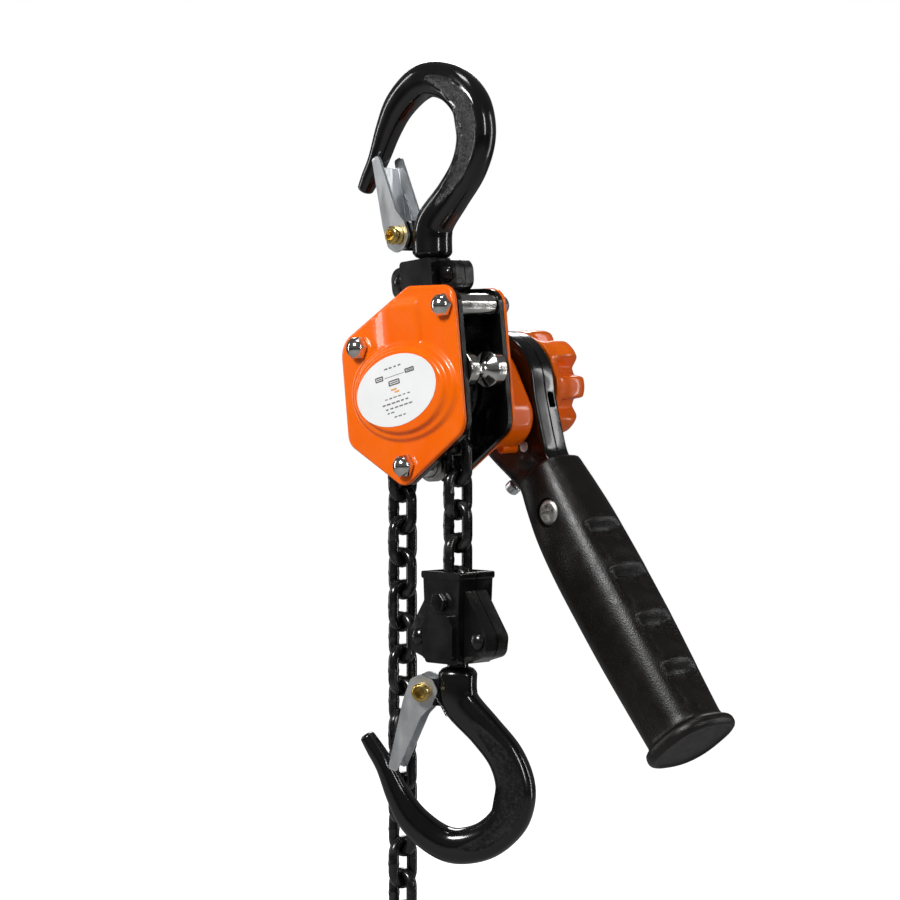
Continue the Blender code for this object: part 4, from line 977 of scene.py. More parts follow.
def rivet(name, at, face):
    """A round-headed rivet through both halves of a yoke."""
    grip = face + TOUCH
    dome = []
    for degrees in (88, 70, 50, 30, 12, 0):
        angle = math.radians(degrees)
        dome.append((RIVET_HEAD_R * math.cos(angle), -grip - 1.9 * math.sin(angle)))
    profile = [(0, -grip - 1.9), *dome, (RIVET_R, -grip)]
    profile += [(r, -y) for r, y in reversed(profile)]
    return turned(name, profile, at=(at[0], 0, at[1]), sides=36, soft=0.1)


TOP_YOKE = {
    "x": YOKE_X,
    "ears": [(-17.8, 44.6, 4.5), (-6, 46.2, 2), (6, 46.2, 2), (16.6, 45.0, 4.5), (16.2, 34.8, 4.0),
             (6, 32, 2), (-6, 32, 2), (-17.4, 34.2, 4.0)],
    "ear_depth": 4.5,
    "bulges": [
        ([(-8.2, 46.5, 1.5), (8.2, 46.5, 1.5), (8.2, 26.5, 3.5),
          (5.5, 22.8, 3.2), (-5.5, 22.8, 3.2), (-8.2, 26.5, 3.5)], 9.0),
    ],
    "soft": (1.3,),
    "hollows": [((-6.9, -7.3, 35.0), (6.9, 7.3, 42.7))],
    "neck": (YOKE_X - 0.05, 40, 50),
    "pin": (0, TOP_PIN_Z, 3.0),
    "rivets": [(-12.8, 39.8), (11.9, 40.0)],
}

BLOCK_TOP = -66.5
CHAIN_PIN_Z = -77.5
BOTTOM_YOKE = {
    "x": LOAD_X,
    "ears": [(-8.7, -72.7, 1), (8.7, -72.7, 1), (20.4, -89.4, 4), (19.4, -96.5, 4), (9, -99.6, 2),
             (-9, -99.6, 2), (-18.6, -96.5, 4), (-19.4, -89, 4)],
    "ear_depth": 5.6,
    "bulges": [
        ([(-9.9, BLOCK_TOP, 0.8), (9.9, BLOCK_TOP, 0.8), (9.9, -69.2, 1.0), (-9.9, -69.2, 1.0)], 9.1),
        ([(-9.4, -67.5, 0.5), (9.4, -67.5, 0.5), (8.8, -79, 2),
          (8.6, -100, 1.6), (-8.6, -100, 1.6), (-8.8, -79, 2)], 8.6),
        ([(-5.2, -81.9, 1.5), (5.2, -81.9, 1.5), (7.7, -86.3, 2),
          (7.7, -98.4, 1.8), (-7.7, -98.4, 1.8), (-7.7, -86.3, 2)], 10.8),
    ],
    "soft": (0.9, 1.1, 0.9),
    "hollows": [((-8.3, -7.4, -71.5), (8.3, 7.4, -60)), ((-7.5, -7.3, -88.2), (7.5, 7.3, -61)),
                ((-6.9, -7.2, -96.6), (6.9, 7.2, -90.4))],
    "neck": (LOAD_X, -104, -95),
    "pin": (0, CHAIN_PIN_Z, 2.6),
    "rivets": [(-14.8, -91.0), (15.6, -91.0)],
}


def yoke_set(prefix, spec, where):
    for side, name in ((-1, "front"), (1, "rear")):
        place(f"{prefix}_yoke_{name}", yoke_half(f"{prefix}_{name}", side, spec), where, "satin_enamel")
    for side, (x, z) in zip(("left", "right"), spec["rivets"], strict=True):
        piece = rivet(f"{prefix}_{side}", (spec["x"] + x, z), spec["ear_depth"])
        place(f"{prefix}_yoke_rivet_{side}", piece, where, "black_enamel")


def chain_pin():
    """Pin through the block: a hexagon head towards -Y and a riveted end towards +Y."""
    face = 8.6 + TOUCH
    profile = [(0, -face - 0.4), (3.0, -face - 0.4), (3.2, -face - 0.2), (3.2, -face), (2.3, -face),
               (2.3, face), (3.2, face), (3.2, face + 1.3), (2.6, face + 2.0), (0, face + 2.0)]
    pin = turned("chain_pin", profile, at=(LOAD_X, 0, CHAIN_PIN_Z), sides=40, soft=0.15)
    flats = hex_outline((LOAD_X, CHAIN_PIN_Z), 7.2, 12)
    head = prism("chain_pin_head", [flats], -face - 2.0, -face - 0.2, 0.35)
    join(pin, head)
    place("chain_pin", pin, TO_SHAFT, "black_enamel")


# ---------------------------------------------------------------- frame


def plate_holes(bore):
    holes = [circle((0, 0), bore, 64), circle((YOKE_X, TOP_PIN_Z), 3.1, 40)]
    holes += [circle(at, STAY_R + TOUCH, 32) for at in STAYS.values()]
    holes += [circle((x, ROLLER_Z), 2.2, 32) for x in (ROLLER_X, -ROLLER_X)]
    return holes


def side_plates():
    inside = GAP / 2
    outline = rounded(PLATE_CORNERS, 10)
    front = prism("front_plate", [outline, *plate_holes(8.0)], -inside - PLATE, -inside, 0.45)
    rear = prism("rear_plate", [outline, *plate_holes(9.0)], inside, inside + PLATE, 0.45)
    place("front_side_plate", front, TO_FRAME, "black_enamel")
    place("rear_side_plate", rear, TO_FRAME, "black_enamel")


BOSS = (0.8, -1.0, 27.6, 18.6)  # centre and half axes


def boss_share(x, z):
    return math.hypot((x - BOSS[0]) / BOSS[2], (z - BOSS[1]) / BOSS[3])


def cover_height(x, z):
    """How far the pressed cover stands out of its rim."""
    d = boss_share(x, z)
    boss = COVER_BOSS * (0.45 * (1 - step_up(d, 0.93, 1.01)) + 0.55 * (1 - step_up(d, 0.79, 0.87)))
    crease = 12.6 + (z - 9.0) * (11.4 - 12.6) / 25.0
    flat = 1 - step_up(x, crease - 1.7, crease)
    flat *= step_up(z, 4.0, 10.0) * (1 - step_up(z, 29.5, 33.0))
    flat *= step_up(x, -15.0, -4.0)
    return max(boss, 1.1 * flat)


def end_cover():
    """Pressed cover: a flat rim, an oval boss over the shaft's end, and a low step above it."""
    back = -FRONT_FACE - TOUCH
    rim_face = back - COVER_RIM
    count, rows = 288, 56
    heart = Vector((BOSS[0], BOSS[1]))

    # the outlines are matched to each other by their angle about the boss
    def matched(inset):
        ring = resampled(rounded(grown(COVER_CORNERS, -inset), 14), count)
        angles = sorted((math.atan2(p.y - heart.y, p.x - heart.x), p.x, p.y) for p in ring)
        spots = []
        for turn in turns(count, 0.5):
            want = -math.pi + turn
            j = next((i for i, row in enumerate(angles) if row[0] >= want), 0)
            a, b = angles[j - 1], angles[j]
            span = (b[0] - a[0]) % (2 * math.pi)
            share = ((want - a[0]) % (2 * math.pi)) / span if span else 0.0
            spots.append(Vector((a[1] + (b[1] - a[1]) * share, a[2] + (b[2] - a[2]) * share)))
        return spots

    rings = []
    edge = (
        (0.35, back), (0.0, back - 0.3), (0.0, rim_face + 0.9), (0.1, rim_face + 0.5),
        (0.3, rim_face + 0.22), (0.6, rim_face + 0.06), (0.95, rim_face),
    )
    for inset, y in edge:
        rings.append([Vector((p.x, y, p.y)) for p in matched(inset)])
    start = matched(1.3)
    for row in range(rows + 1):
        share = 1 - row / (rows + 0.6)
        spots = [heart.lerp(p, share) for p in start]
        rings.append([Vector((p.x, rim_face - cover_height(p.x, p.y), p.y)) for p in spots])
    middle = len(rings) - 1
    # the hollow behind the boss
    for row in range(rows // 2 + 1):
        share = 0.02 + 0.98 * row / (rows // 2)
        ring = []
        for turn in (step - math.pi for step in turns(count, 0.5)):
            reach = 1 / math.hypot(math.cos(turn) / (BOSS[2] - 1.6), math.sin(turn) / (BOSS[3] - 1.6))
            spot = heart + Vector((math.cos(turn), math.sin(turn))) * (reach * share)
            depth = min(back, rim_face - cover_height(spot.x, spot.y) + 1.5)
            ring.append(Vector((spot.x, depth if row < rows // 2 else back, spot.y)))
        rings.append(ring)
    place("end_cover", ring_body("end_cover", rings, middle), TO_FRAME, "orange_enamel", smooth=50)


def ring_body(name, rings, middle):
    """A closed skin over rings that starts and ends on the same face; its two centres, at the ring
    `middle` and the one after it, are capped."""
    bm = bmesh.new()
    rows = [[bm.verts.new(point) for point in ring] for ring in rings]
    for i, (first, second) in enumerate(zip(rows, rows[1:])):
        if i == middle:
            bm.faces.new(first)
            bm.faces.new(second)
        else:
            skin(bm, first, second)
    skin(bm, rows[0], rows[-1])
    return solid(name, ended(name, bm))


LABEL_TILT = 8.0


def label():
    """Oval label on the boss, with plain bars and boxes in place of print."""
    face = -FRONT_FACE - TOUCH - COVER_RIM - COVER_BOSS
    heart = Vector((-0.6, -0.6))
    tilt = math.radians(LABEL_TILT)
    right, up = Vector((math.cos(tilt), math.sin(tilt))), Vector((-math.sin(tilt), math.cos(tilt)))

    def at(u, v):
        spot = heart + right * u + up * v
        return (spot.x, spot.y)

    def box(u, v, half_u, half_v, radius):
        corners = ((-half_u, half_v), (half_u, half_v), (half_u, -half_v), (-half_u, -half_v))
        return rounded([(*at(u + across, v + rise), radius) for across, rise in corners], 3)

    def printed(*outlines):
        return prism("print", outlines, face - 0.17, face - 0.06)

    edge = [at(21.0 * math.cos(turn), 12.9 * math.sin(turn)) for turn in turns(120)]
    paper = prism("label", [edge], face - 0.12, face + 0.1, 0.04, 2)
    place("end_cover_label", paper, TO_FRAME, "label_paper", nodes=(), body="frame")
    boxes, bars = [], []
    for u, v, half_u, half_v in ((-7.6, 5.7, 2.1, 0.9), (8.6, 5.7, 2.4, 0.8), (-0.2, 3.0, 2.9, 0.95)):
        boxes.append(printed(box(u, v, half_u, half_v, 0.25), box(u, v, half_u - 0.55, half_v - 0.42, 0.1)))
        bars.append(printed(box(u, v, half_u - 0.85, 0.2, 0.12)))
    bars.append(printed(box(0.4, 5.4, 5.2, 0.09, 0.12)))
    rows = (
        # height on the label, middles of the bars, half length, half thickness
        (8.6, (-3.6, -1.2, 1.2, 3.6), 0.95, 0.26), (-2.3, (-6, -3.6, -1.2, 1.2, 3.6, 6), 0.98, 0.2),
        (-4.2, (-7.6, -5.2, -2.6, -0.2, 2.2, 4.6), 1.02, 0.26),
        (-6.0, (-6.4, -3.9, -1.4, 1.1, 3.6, 6.1), 1.0, 0.24),
        (-7.5, (-6.0, -3.8), 0.85, 0.22), (-9.4, (-2.6, -0.3, 2.0), 0.9, 0.22),
    )
    for v, columns, half_u, half_v in rows:
        for u in columns:
            squeeze = 0.82 + 0.18 * math.sin(7.3 * u + v)
            bars.append(printed(box(u + 0.3, v, half_u * squeeze, half_v, 0.12)))
    marks = [printed(box(-1.0, 0.55, 1.5, 0.32, 0.12)), printed(box(0.5, -0.5, 1.3, 0.3, 0.12))]
    prints = (("boxes", boxes, "ink"), ("bars", bars, "grey_ink"), ("marks", marks, "amber_ink"))
    for name, solids, look in prints:
        piece = merged(name, solids)
        place(f"label_{name}", piece, TO_FRAME, look, nodes=(), body="frame")


LOBE = (11.0, -12.0, 12.0)
DRUM_R = 17.4
DRUM_WALL = 1.5


def drum_outline(inset=0.0):
    """Circle about the shaft with a lobe at the lower right, joined by their outer tangents."""
    x, z, lobe_r = LOBE
    big, small = DRUM_R - inset, lobe_r - inset
    heading = math.degrees(math.atan2(z, x))
    spread = math.degrees(math.acos((DRUM_R - lobe_r) / math.hypot(x, z)))
    points = arc((0, 0), big, heading + spread, heading + 360 - spread, 60)
    return points + arc((x, z), small, heading - spread, heading + spread, 30)


def brake_cover():
    """Pressed cover over the brake: a flange on the rear plate and a drum with a rounded back."""
    front = REAR_FACE + TOUCH
    cover = prism("brake_cover", [rounded(grown(PLATE_CORNERS, 0.3), 10)], front, front + FLANGE, 0.3)
    rings = []
    steps = (
        (-1.1, front + 0.55), (-0.5, front + 1.25), (-0.12, front + 1.9), (0.0, front + 2.8),
        (0.0, BRAKE_BACK - 4.6), (0.16, BRAKE_BACK - 3.3), (0.6, BRAKE_BACK - 2.1), (1.35, BRAKE_BACK - 1.05),
        (2.4, BRAKE_BACK - 0.3), (3.6, BRAKE_BACK),
    )
    for inset, y in steps:
        rings.append([Vector((x, y, z)) for x, z in drum_outline(inset)])
    join(cover, loft("drum", rings))
    join(cover, rod("nub", 1.8, BRAKE_BACK - 11, BRAKE_BACK - 3, (13.2, -24.0), 32, bevel=0.5))
    cut(cover, prism("brake_hollow", [drum_outline(DRUM_WALL)], front - 1, BRAKE_BACK - 3.2))
    narrower = drum_outline(DRUM_WALL + 2.0)
    cut(cover, prism("brake_hollow_back", [narrower], BRAKE_BACK - 6, BRAKE_BACK - DRUM_WALL))
    cut(cover, rod("brake_mouth", 11.0, BRAKE_BACK - 8, BRAKE_BACK + 2, (0, 0), 64))
    for side, (x, z) in STAYS.items():
        cut(cover, rod(f"brake_hole_{side}", STAY_R + TOUCH, front - 2, front + 4, (x, z), 32))
    cut(cover, rod("brake_pin_hole", 2.1, front - 2, front + 4, PAWL_PIVOT, 32))
    place("brake_cover", cover, TO_FRAME, "orange_enamel", smooth=50)


def dome_nut(name, at, face, side):
    """Acorn nut: six flats with turned corners, then a dome."""
    radius = 4.5
    rings = []
    rows = (
        # height, reach as a share of the radius, how hexagonal
        (0.0, 0.93, 0.35), (0.25, 1.0, 1), (1.75, 1.0, 1), (2.05, 0.93, 0.35), (2.15, 0.86, 0),
        (2.5, 0.84, 0), (3.1, 0.78, 0), (3.7, 0.67, 0), (4.2, 0.53, 0), (4.6, 0.36, 0), (4.82, 0.2, 0),
        (4.9, 0.06, 0),
    )
    for height, reach, hexed in rows:
        ring = []
        for turn in turns(72):
            flat = math.cos(math.pi / 6) / math.cos((turn % (math.pi / 3)) - math.pi / 6)
            r = radius * reach * (hexed * flat + (1 - hexed) * (1 if hexed == 0 else min(flat * 1.05, 1)))
            x, z = at[0] + r * math.cos(turn), at[1] + r * math.sin(turn)
            ring.append(Vector((x, face + side * height, z)))
        rings.append(ring)
    nut = loft(name, rings)
    low, high = sorted((face - side * 1, face + side * 3.0))
    return cut(nut, rod(f"{name}_bore", STAY_R + 0.15, low, high, at, 32))


def stays():
    front = -FRONT_FACE - TOUCH - COVER_RIM - TOUCH
    rear = REAR_FACE + TOUCH + FLANGE + TOUCH
    shoulder = GAP / 2 - TOUCH
    for side, at in STAYS.items():
        profile = [(0, front - 2.6), (STAY_R, front - 2.6), (STAY_R, -shoulder), (SLEEVE_R, -shoulder),
                   (SLEEVE_R, shoulder), (STAY_R, shoulder), (STAY_R, rear + 2.6), (0, rear + 2.6)]
        place(f"stay_{side}", turned(f"stay_{side}", profile, at=(at[0], 0, at[1])), TO_FRAME, "chrome_plate")
        place(f"front_nut_{side}", dome_nut("front_nut", at, front, -1), TO_FRAME, "chrome_plate", smooth=28)
        place(f"rear_nut_{side}", dome_nut("rear_nut", at, rear, 1), TO_FRAME, "chrome_plate", smooth=28)


def guide_roller(name, x):
    profile = [(0, -11.7), (2.0, -11.7), (2.0, -9.1), (6.6, -9.1), (6.6, -5.0), (5.0, -3.9),
               (3.2, -2.6), (2.6, -1.3)]
    profile += [(2.5, 0.0)] + [(r, -y) for r, y in reversed(profile)]
    place(name, turned(name, profile, at=(x, 0, ROLLER_Z), soft=0.4), TO_FRAME, "chrome_plate")


def frame_inside():
    pin = turned("top_pin", [(0, -11.4), (2.4, -11.4), (2.9, -10.9), (2.9, 10.9), (2.4, 11.4), (0, 11.4)],
                 at=(YOKE_X, 0, TOP_PIN_Z), sides=48)
    place("top_pin", pin, TO_FRAME, "bare_steel")
    x, z = STAYS["bottom"]
    outline = [(x - 6.0, z + 1), (x - 4.2, -16.5), (-5.2, -10.2), (-2.4, -8.4), (2.4, -8.4), (5.2, -10.2),
               (x + 6.4, -16.5), (x + 6.2, z + 1), *arc((x, z), 6.2, 0, -180, 30)]
    stripper = prism("chain_stripper", [outline, circle((x, z), SLEEVE_R + 0.2, 48)], -1.7, 1.7, 0.35)
    place("chain_stripper", stripper, TO_FRAME, "bare_steel")
    for name, inner, outer, low, high in (("front_bush", 6.1, 7.8, -FRONT_FACE + 0.3, -GAP / 2 + 0.1),
                                          ("rear_bush", 7.1, 8.8, GAP / 2 - 0.1, REAR_FACE - 0.3)):
        bush = prism(name, [circle((0, 0), outer, 64), circle((0, 0), inner, 64)], low, high, 0.2)
        place(name, bush, TO_FRAME, "bronze")


# ---------------------------------------------------------------- shaft, brake and wheel

PAWL_PIVOT = (14.6, -12.4)
PAWL_TIP = -12.0
PAWL_PIN_R = 1.8
PAWL_LIFT = 13.5
SHEAVE_HALF = 8.4
SHEAVE_R = 16.6
TEETH = 12  # on the ratchet disc and on the change gear
DISC_BORE = 8.5


def load_shaft():
    profile = [(0, -14.6), (5.6, -14.6), (6.0, -14.2), (6.0, -GAP / 2 + 0.4), (10, -SHEAVE_HALF),
               (SHEAVE_R, -SHEAVE_HALF), (SHEAVE_R, -2.5), (7.2, -2.5), (7.2, 2.5), (SHEAVE_R, 2.5),
               (SHEAVE_R, SHEAVE_HALF), (10, SHEAVE_HALF), (7.0, GAP / 2 - 0.4), (7.0, 14.2), (4.5, 14.2),
               (4.5, 60.6), (3.9, 61.4), (0, 61.4)]
    body = turned("load_shaft", profile, sides=72, soft=0.35)
    shape = [(24, -10.35), (9.4, -10.35), (9.4, -9.0), (12.15, -2.5),
             (12.15, 2.5), (9.4, 9.0), (9.4, 10.35), (24, 10.35)]
    for i in range(4):
        cutter = prism(f"pocket_{i}", [shape], -7.0, 7.0, 0.6)
        cut(body, spun(cutter, -(FIRST_LINK + LINK_ANGLE + 90 * i)))
    place("load_shaft", body, TO_SHAFT, "bare_steel")


def toothed(teeth, start, shape):
    """A closed outline of equal teeth; shape has (share of a tooth's step, radius) points."""
    step = 360 / teeth
    return [polar(radius, start + (i + share) * step) for i in range(teeth) for share, radius in shape]


def brake():
    profile = [(4.8, 14.6), (13.6, 14.6), (13.6, 17.4), (8.2, 17.4), (8.2, 27.0), (4.8, 27.0)]
    hub = turned("brake_hub", profile, ring=True)
    place("brake_hub", hub, TO_SHAFT, "bare_steel")
    for name, low, high in (("friction_disc_inner", 17.7, 19.7), ("friction_disc_outer", 24.3, 26.3)):
        disc = prism(name, [circle((0, 0), 13.4, 72), circle((0, 0), DISC_BORE, 60)], low, high, 0.15)
        place(name, disc, TO_SHAFT, "friction_lining")
    root, tip = 12.6, 15.0
    shape = ((0.0, root), (0.04, tip), (0.16, tip), (0.5, (root + tip) / 2), (0.88, root))
    teeth = toothed(TEETH, PAWL_TIP + ROLL + 0.8, shape)
    ratchet = prism("ratchet_disc", [teeth, circle((0, 0), DISC_BORE, 60)], 20.0, 24.0, 0.2)
    place("ratchet_disc", ratchet, TO_SHAFT, "bare_steel")
    profile = [(4.8, 27.3), (4.8, 46.0), (8.0, 46.0), (8.0, 43.8), (9.0, 43.8), (9.0, 29.6), (13.6, 29.6),
               (13.6, 27.3)]
    gear = turned("change_gear", profile, ring=True)
    root, tip = 11.0, 13.2
    shape = ((-0.5, root), (-0.26, root), (-0.17, tip), (0.17, tip), (0.26, root))
    teeth = toothed(TEETH, LEVER_ANGLE - 90, shape)
    join(gear, prism("change_gear_teeth", [teeth, circle((0, 0), DISC_BORE, 60)], 36.4, 43.2, 0.2))
    place("change_gear", gear, TO_SHAFT, "bare_steel")


def brake_pawl():
    x, z = PAWL_PIVOT
    outline = [polar(13.1, PAWL_TIP - 0.2), polar(15.3, PAWL_TIP - 0.6), polar(17.0, PAWL_TIP - 7),
               *arc((x, z), 3.4, 50, -150, 24), polar(14.9, PAWL_TIP - 18), polar(14.5, PAWL_TIP - 12.5),
               polar(13.4, PAWL_TIP - 4)]
    pawl = prism("brake_pawl", [outline, circle((x, z), PAWL_PIN_R + 0.1, 40)], 20.2, 23.8, 0.2)
    place("brake_pawl", spun(pawl, PAWL_LIFT, x, z), TO_FRAME, "bare_steel")
    foot = GAP / 2 + PLATE + 0.4
    profile = [(0, foot), (PAWL_PIN_R, foot), (PAWL_PIN_R, 28.4), (2.9, 28.4), (2.9, 29.6), (0, 29.6)]
    pin = turned("brake_pawl_pin", profile, at=(x, 0, z), sides=40)
    place("brake_pawl_pin", pin, TO_FRAME, "bare_steel")
    coil = [(x + 2.5, 24.3, z - 4.6)]
    for i in range(41):
        angle = 2 * math.pi * i / 16
        coil.append((x + 2.5 * math.cos(angle), 24.6 + 2.8 * i / 40, z + 2.5 * math.sin(angle)))
    coil.append((x - 6.2, 27.4, z - 3.4))
    place("brake_pawl_spring", wire("brake_pawl_spring", coil, 0.32), TO_FRAME, "spring_steel")


WHEEL_LOBES = 8
WHEEL_SIDES = 320


def wheel_ring(y, radius, depth, crisp=1.0):
    """A ring of the hand wheel at depth y: steep-sided scallops between broad finger lobes."""
    ring = []
    for turn in turns(WHEEL_SIDES):
        soft = 0.5 - 0.5 * math.cos(WHEEL_LOBES * turn)
        steep = step_up(soft, 0.38, 0.92)
        r = radius - depth * (soft * (1 - crisp) + steep * crisp)
        ring.append(Vector((r * math.cos(turn), y, r * math.sin(turn))))
    return ring


def hand_wheel():
    """Pressed hand wheel with eight finger lobes, open at the front and dished at the centre."""
    rows = (
        # depth behind the front edge, radius, depth of the scallops, how steep their sides are
        (0.0, 20.5, 0.9, 0.2), (0.35, 20.95, 1.0, 0.2), (1.2, 21.1, 1.2, 0.2), (3.0, 21.2, 1.6, 0.3),
        (4.0, 21.2, 2.0, 0.4), (4.9, 21.25, 3.6, 0.75), (5.8, 21.3, 4.5, 0.9), (7.5, 21.4, 4.8, 0.95),
        (11.0, 21.4, 5.0, 0.95), (13.2, 21.3, 5.0, 0.9), (14.6, 20.95, 4.9, 0.85), (15.6, 20.35, 4.8, 0.8),
        (16.3, 19.5, 4.6, 0.8), (16.7, 18.5, 4.3, 0.75), (16.8, 17.6, 4.0, 0.7),
    )
    rings = [wheel_ring(WHEEL_FRONT + y, radius, depth, crisp) for y, radius, depth, crisp in rows]
    wheel = loft("hand_wheel", rings)
    front, back = WHEEL_FRONT, WHEEL_BACK
    inside = [(0, front - 2), (14.2, front - 2), (13.0, back - 3.0), (0, back - 3.0)]
    cut(wheel, turned("wheel_inside", inside, sides=96, soft=0.8))
    dish = [(0, back - 7), (8.4, back - 7), (9.2, back - 2.4), (10.2, back - 0.8), (12.6, back + 0.1),
            (12.8, back + 2), (0, back + 2)]
    cut(wheel, turned("wheel_dish", dish, sides=96, soft=0.8))
    hub = [(5.0, front + 0.1), (5.0, back - 7.6), (13.8, back - 3.7), (13.8, back - 2.2), (9.9, back - 2.4),
           (8.5, back - 5.4), (8.4, front + 0.1)]
    join(wheel, turned("wheel_hub", hub, sides=96, ring=True, soft=0.4))
    place("hand_wheel", wheel, TO_SHAFT, "orange_enamel", smooth=50)
    nut = hex_nut("wheel_nut", (0, 0), 11.6, 4.6, WHEEL_BACK - 7.3, WHEEL_BACK - 2.4)
    place("wheel_nut", nut, TO_SHAFT, "bare_steel")
    clip = [*arc((0, 0), 7.6, 110, 430, 48), *arc((0, 0), 6.2, 430, 110, 48)]
    clip = prism("circlip", [clip], -14.3, -13.5, 0.15)
    place("shaft_circlip", clip, TO_SHAFT, "spring_steel")


# ---------------------------------------------------------------- lever


def housing_outline(inset=0.0, end=NECK_END):
    """A circle about the shaft running down into the lever's neck, wider on the selector's side."""
    radius = HOUSING_R - inset
    points = arc((0, 0), radius, -33, 188, 72)
    left_start, right_stop = (arc((0, 0), radius, angle, angle, 1)[0] for angle in (190, -35))
    left = eased([left_start, (-17.4 + inset, -20.0), (-13.6 + inset, -32.5), (-12.4 + inset, end)], 6)
    right = eased([(8.0 - inset, end), (8.6 - inset, -33.5), (14.4 - inset, -18.3), right_stop], 6)
    return points + left + right[:-1]


def lever_housing():
    """Two pressed shells that meet at the middle, with rounded outer edges."""
    sheet = 1.6
    back_low = HOUSING_SPLIT + 0.3
    spans = {
        "lever_housing_front": (HOUSING_FRONT, HOUSING_SPLIT, HOUSING_FRONT + sheet, HOUSING_SPLIT + 2),
        "lever_housing_rear": (back_low, HOUSING_BACK, HOUSING_SPLIT - 2, HOUSING_BACK - sheet),
    }
    for name, (low, high, hollow_low, hollow_high) in spans.items():
        front = low == HOUSING_FRONT
        rings = []
        steps = ((1.7, 0.0), (1.0, 0.12), (0.5, 0.42), (0.15, 0.9), (0.0, 1.6))
        rows = [(inset, low + depth if front else high - depth) for inset, depth in steps]
        rows += [(0.0, high - 0.25 if front else low + 0.25), (0.22, high if front else low)]
        for inset, y in rows:
            rings.append([Vector((x, y, z)) for x, z in housing_outline(inset)])
        shell = loft(name, rings)
        tang_low, tang_high = (low + 2.4, high) if front else (low, high - 2.4)
        tang = block(f"{name}_tang", (-TANG_HALF, tang_low, -104.0), (TANG_HALF, tang_high, NECK_END + 3))
        join(shell, tang)
        cut(shell, prism(f"{name}_hollow", [housing_outline(sheet, NECK_END + 2.4)], hollow_low, hollow_high))
        cut(shell, rod(f"{name}_mouth", 9.6, low - 2, high + 2, (0, 0), 64))
        cut(shell, block(f"{name}_slot", (-26, PAWL_Y - 2.0, -36.9), (-9, PAWL_Y + 2.0, -26.2)))
        cut(shell, rod(f"{name}_pivot_hole", 2.15, low - 2, high + 2, (0, SELECTOR_Z), 32))
        cut(shell, rod(f"{name}_screw_hole", 2.3, low - 4, high + 4, (0, SCREW_Z), 32))
        if name.endswith("rear"):
            window = ((10, HOUSING_SPLIT + 1.0, -19.6), (26, HOUSING_SPLIT + 4.3, -14.2))
            cut(shell, block(f"{name}_window", *window, 0.5))
        place(name, shell, TO_LEVER, "black_enamel")


def selector():
    low, high = PAWL_Y - 2.8, PAWL_Y + 2.8
    outline = [(-8.0, -13.4, 0.3), (-5.4, -14.6, 0.3), (-3.2, -19.5, 1.5), (3.2, -19.5, 1.5),
               (5.4, -14.6, 0.3), (8.0, -13.4, 0.3), (9.2, -16.4, 0.8), (5.6, -24.0, 2),
               (4.0, -31.0, 1.5), (-4.0, -31.0, 1.5), (-5.6, -24.0, 2), (-9.2, -16.4, 0.8)]
    pawl = prism("selector_pawl", [rounded(outline, 5)], low, high, 0.25)
    pivot_ends = (HOUSING_FRONT - 0.2, HOUSING_BACK + 0.5)
    join(pawl, rod("selector_pivot", 2.0, *pivot_ends, (0, SELECTOR_Z), 40, bevel=0.3))
    arm = [(-3, -26.4), (-3, -30.2), (-18.4, -33.8), (-18.4, -31.0)]
    join(pawl, prism("selector_arm", [arm], PAWL_Y - 1.3, PAWL_Y + 1.3, 0.3))
    join(pawl, rod("selector_knob", 2.8, -21.4, -17.6, (PAWL_Y, -32.4), 48, "X", 0.7))
    place("selector_pawl", pawl, TO_LEVER, "zinc_plate")


GRIP_ROWS = (
    # height down the lever, half width, half depth, shift of the middle towards -X, squareness
    (-38.8, 10.4, 10.4, 0.0, 3.0), (-39.3, 11.0, 11.0, 0.0, 3.0), (-40.3, 11.3, 11.2, 0.1, 3.0),
    (-43.0, 11.6, 11.4, 0.2, 3.0), (-50.0, 12.7, 12.3, 0.7, 2.9), (-62.0, 13.9, 13.4, 1.3, 2.9),
    (-78.0, 14.6, 14.2, 1.6, 2.8), (-97.0, 14.8, 14.4, 1.6, 2.7), (-115.0, 14.6, 14.2, 1.6, 2.7),
    (-134.0, 14.1, 13.8, 1.6, 2.6), (-149.5, 13.6, 13.3, 1.5, 2.6),
)
GRIP_FLANGE = (
    # the same, over the rolled lip and across the end's shallow dish
    (-151.0, 13.6, 13.3, 1.4, 2.6), (-152.2, 13.8, 13.5, 1.3, 2.6), (-152.9, 14.4, 14.0, 1.3, 2.6),
    (-153.4, 15.2, 14.8, 1.2, 2.6), (-154.0, 15.8, 15.4, 1.2, 2.6), (-154.8, 16.1, 15.7, 1.1, 2.6),
    (-155.8, 16.2, 15.8, 1.1, 2.6), (-156.7, 16.1, 15.7, 1.1, 2.6), (-157.4, 15.7, 15.3, 1.1, 2.6),
    (-157.85, 15.1, 14.7, 1.1, 2.6), (-158.0, 14.4, 14.0, 1.1, 2.6), (-157.95, 13.9, 13.5, 1.1, 2.6),
    (-157.6, 13.5, 13.1, 1.1, 2.6), (-157.4, 12.8, 12.4, 1.1, 2.5), (-157.45, 7.0, 6.8, 1.1, 2.3),
    (-157.5, 0.3, 0.3, 1.1, 2.0),
)
FIRST_RIDGE = -68.4
RIDGE_STEP = 20.5
FINGERS = 4
FINGER_DEPTH = 3.8


def finger_dent(z):
    """Depth of the finger rests at this height: a scallop below each ridge, deepest just under it."""
    share = (FIRST_RIDGE - z) / RIDGE_STEP
    if share <= 0 or share >= FINGERS:
        return 0.0
    inside = share % 1.0
    return FINGER_DEPTH * (step_up(inside, 0.0, 0.15) * (1 - step_up(inside, 0.26, 0.95)))


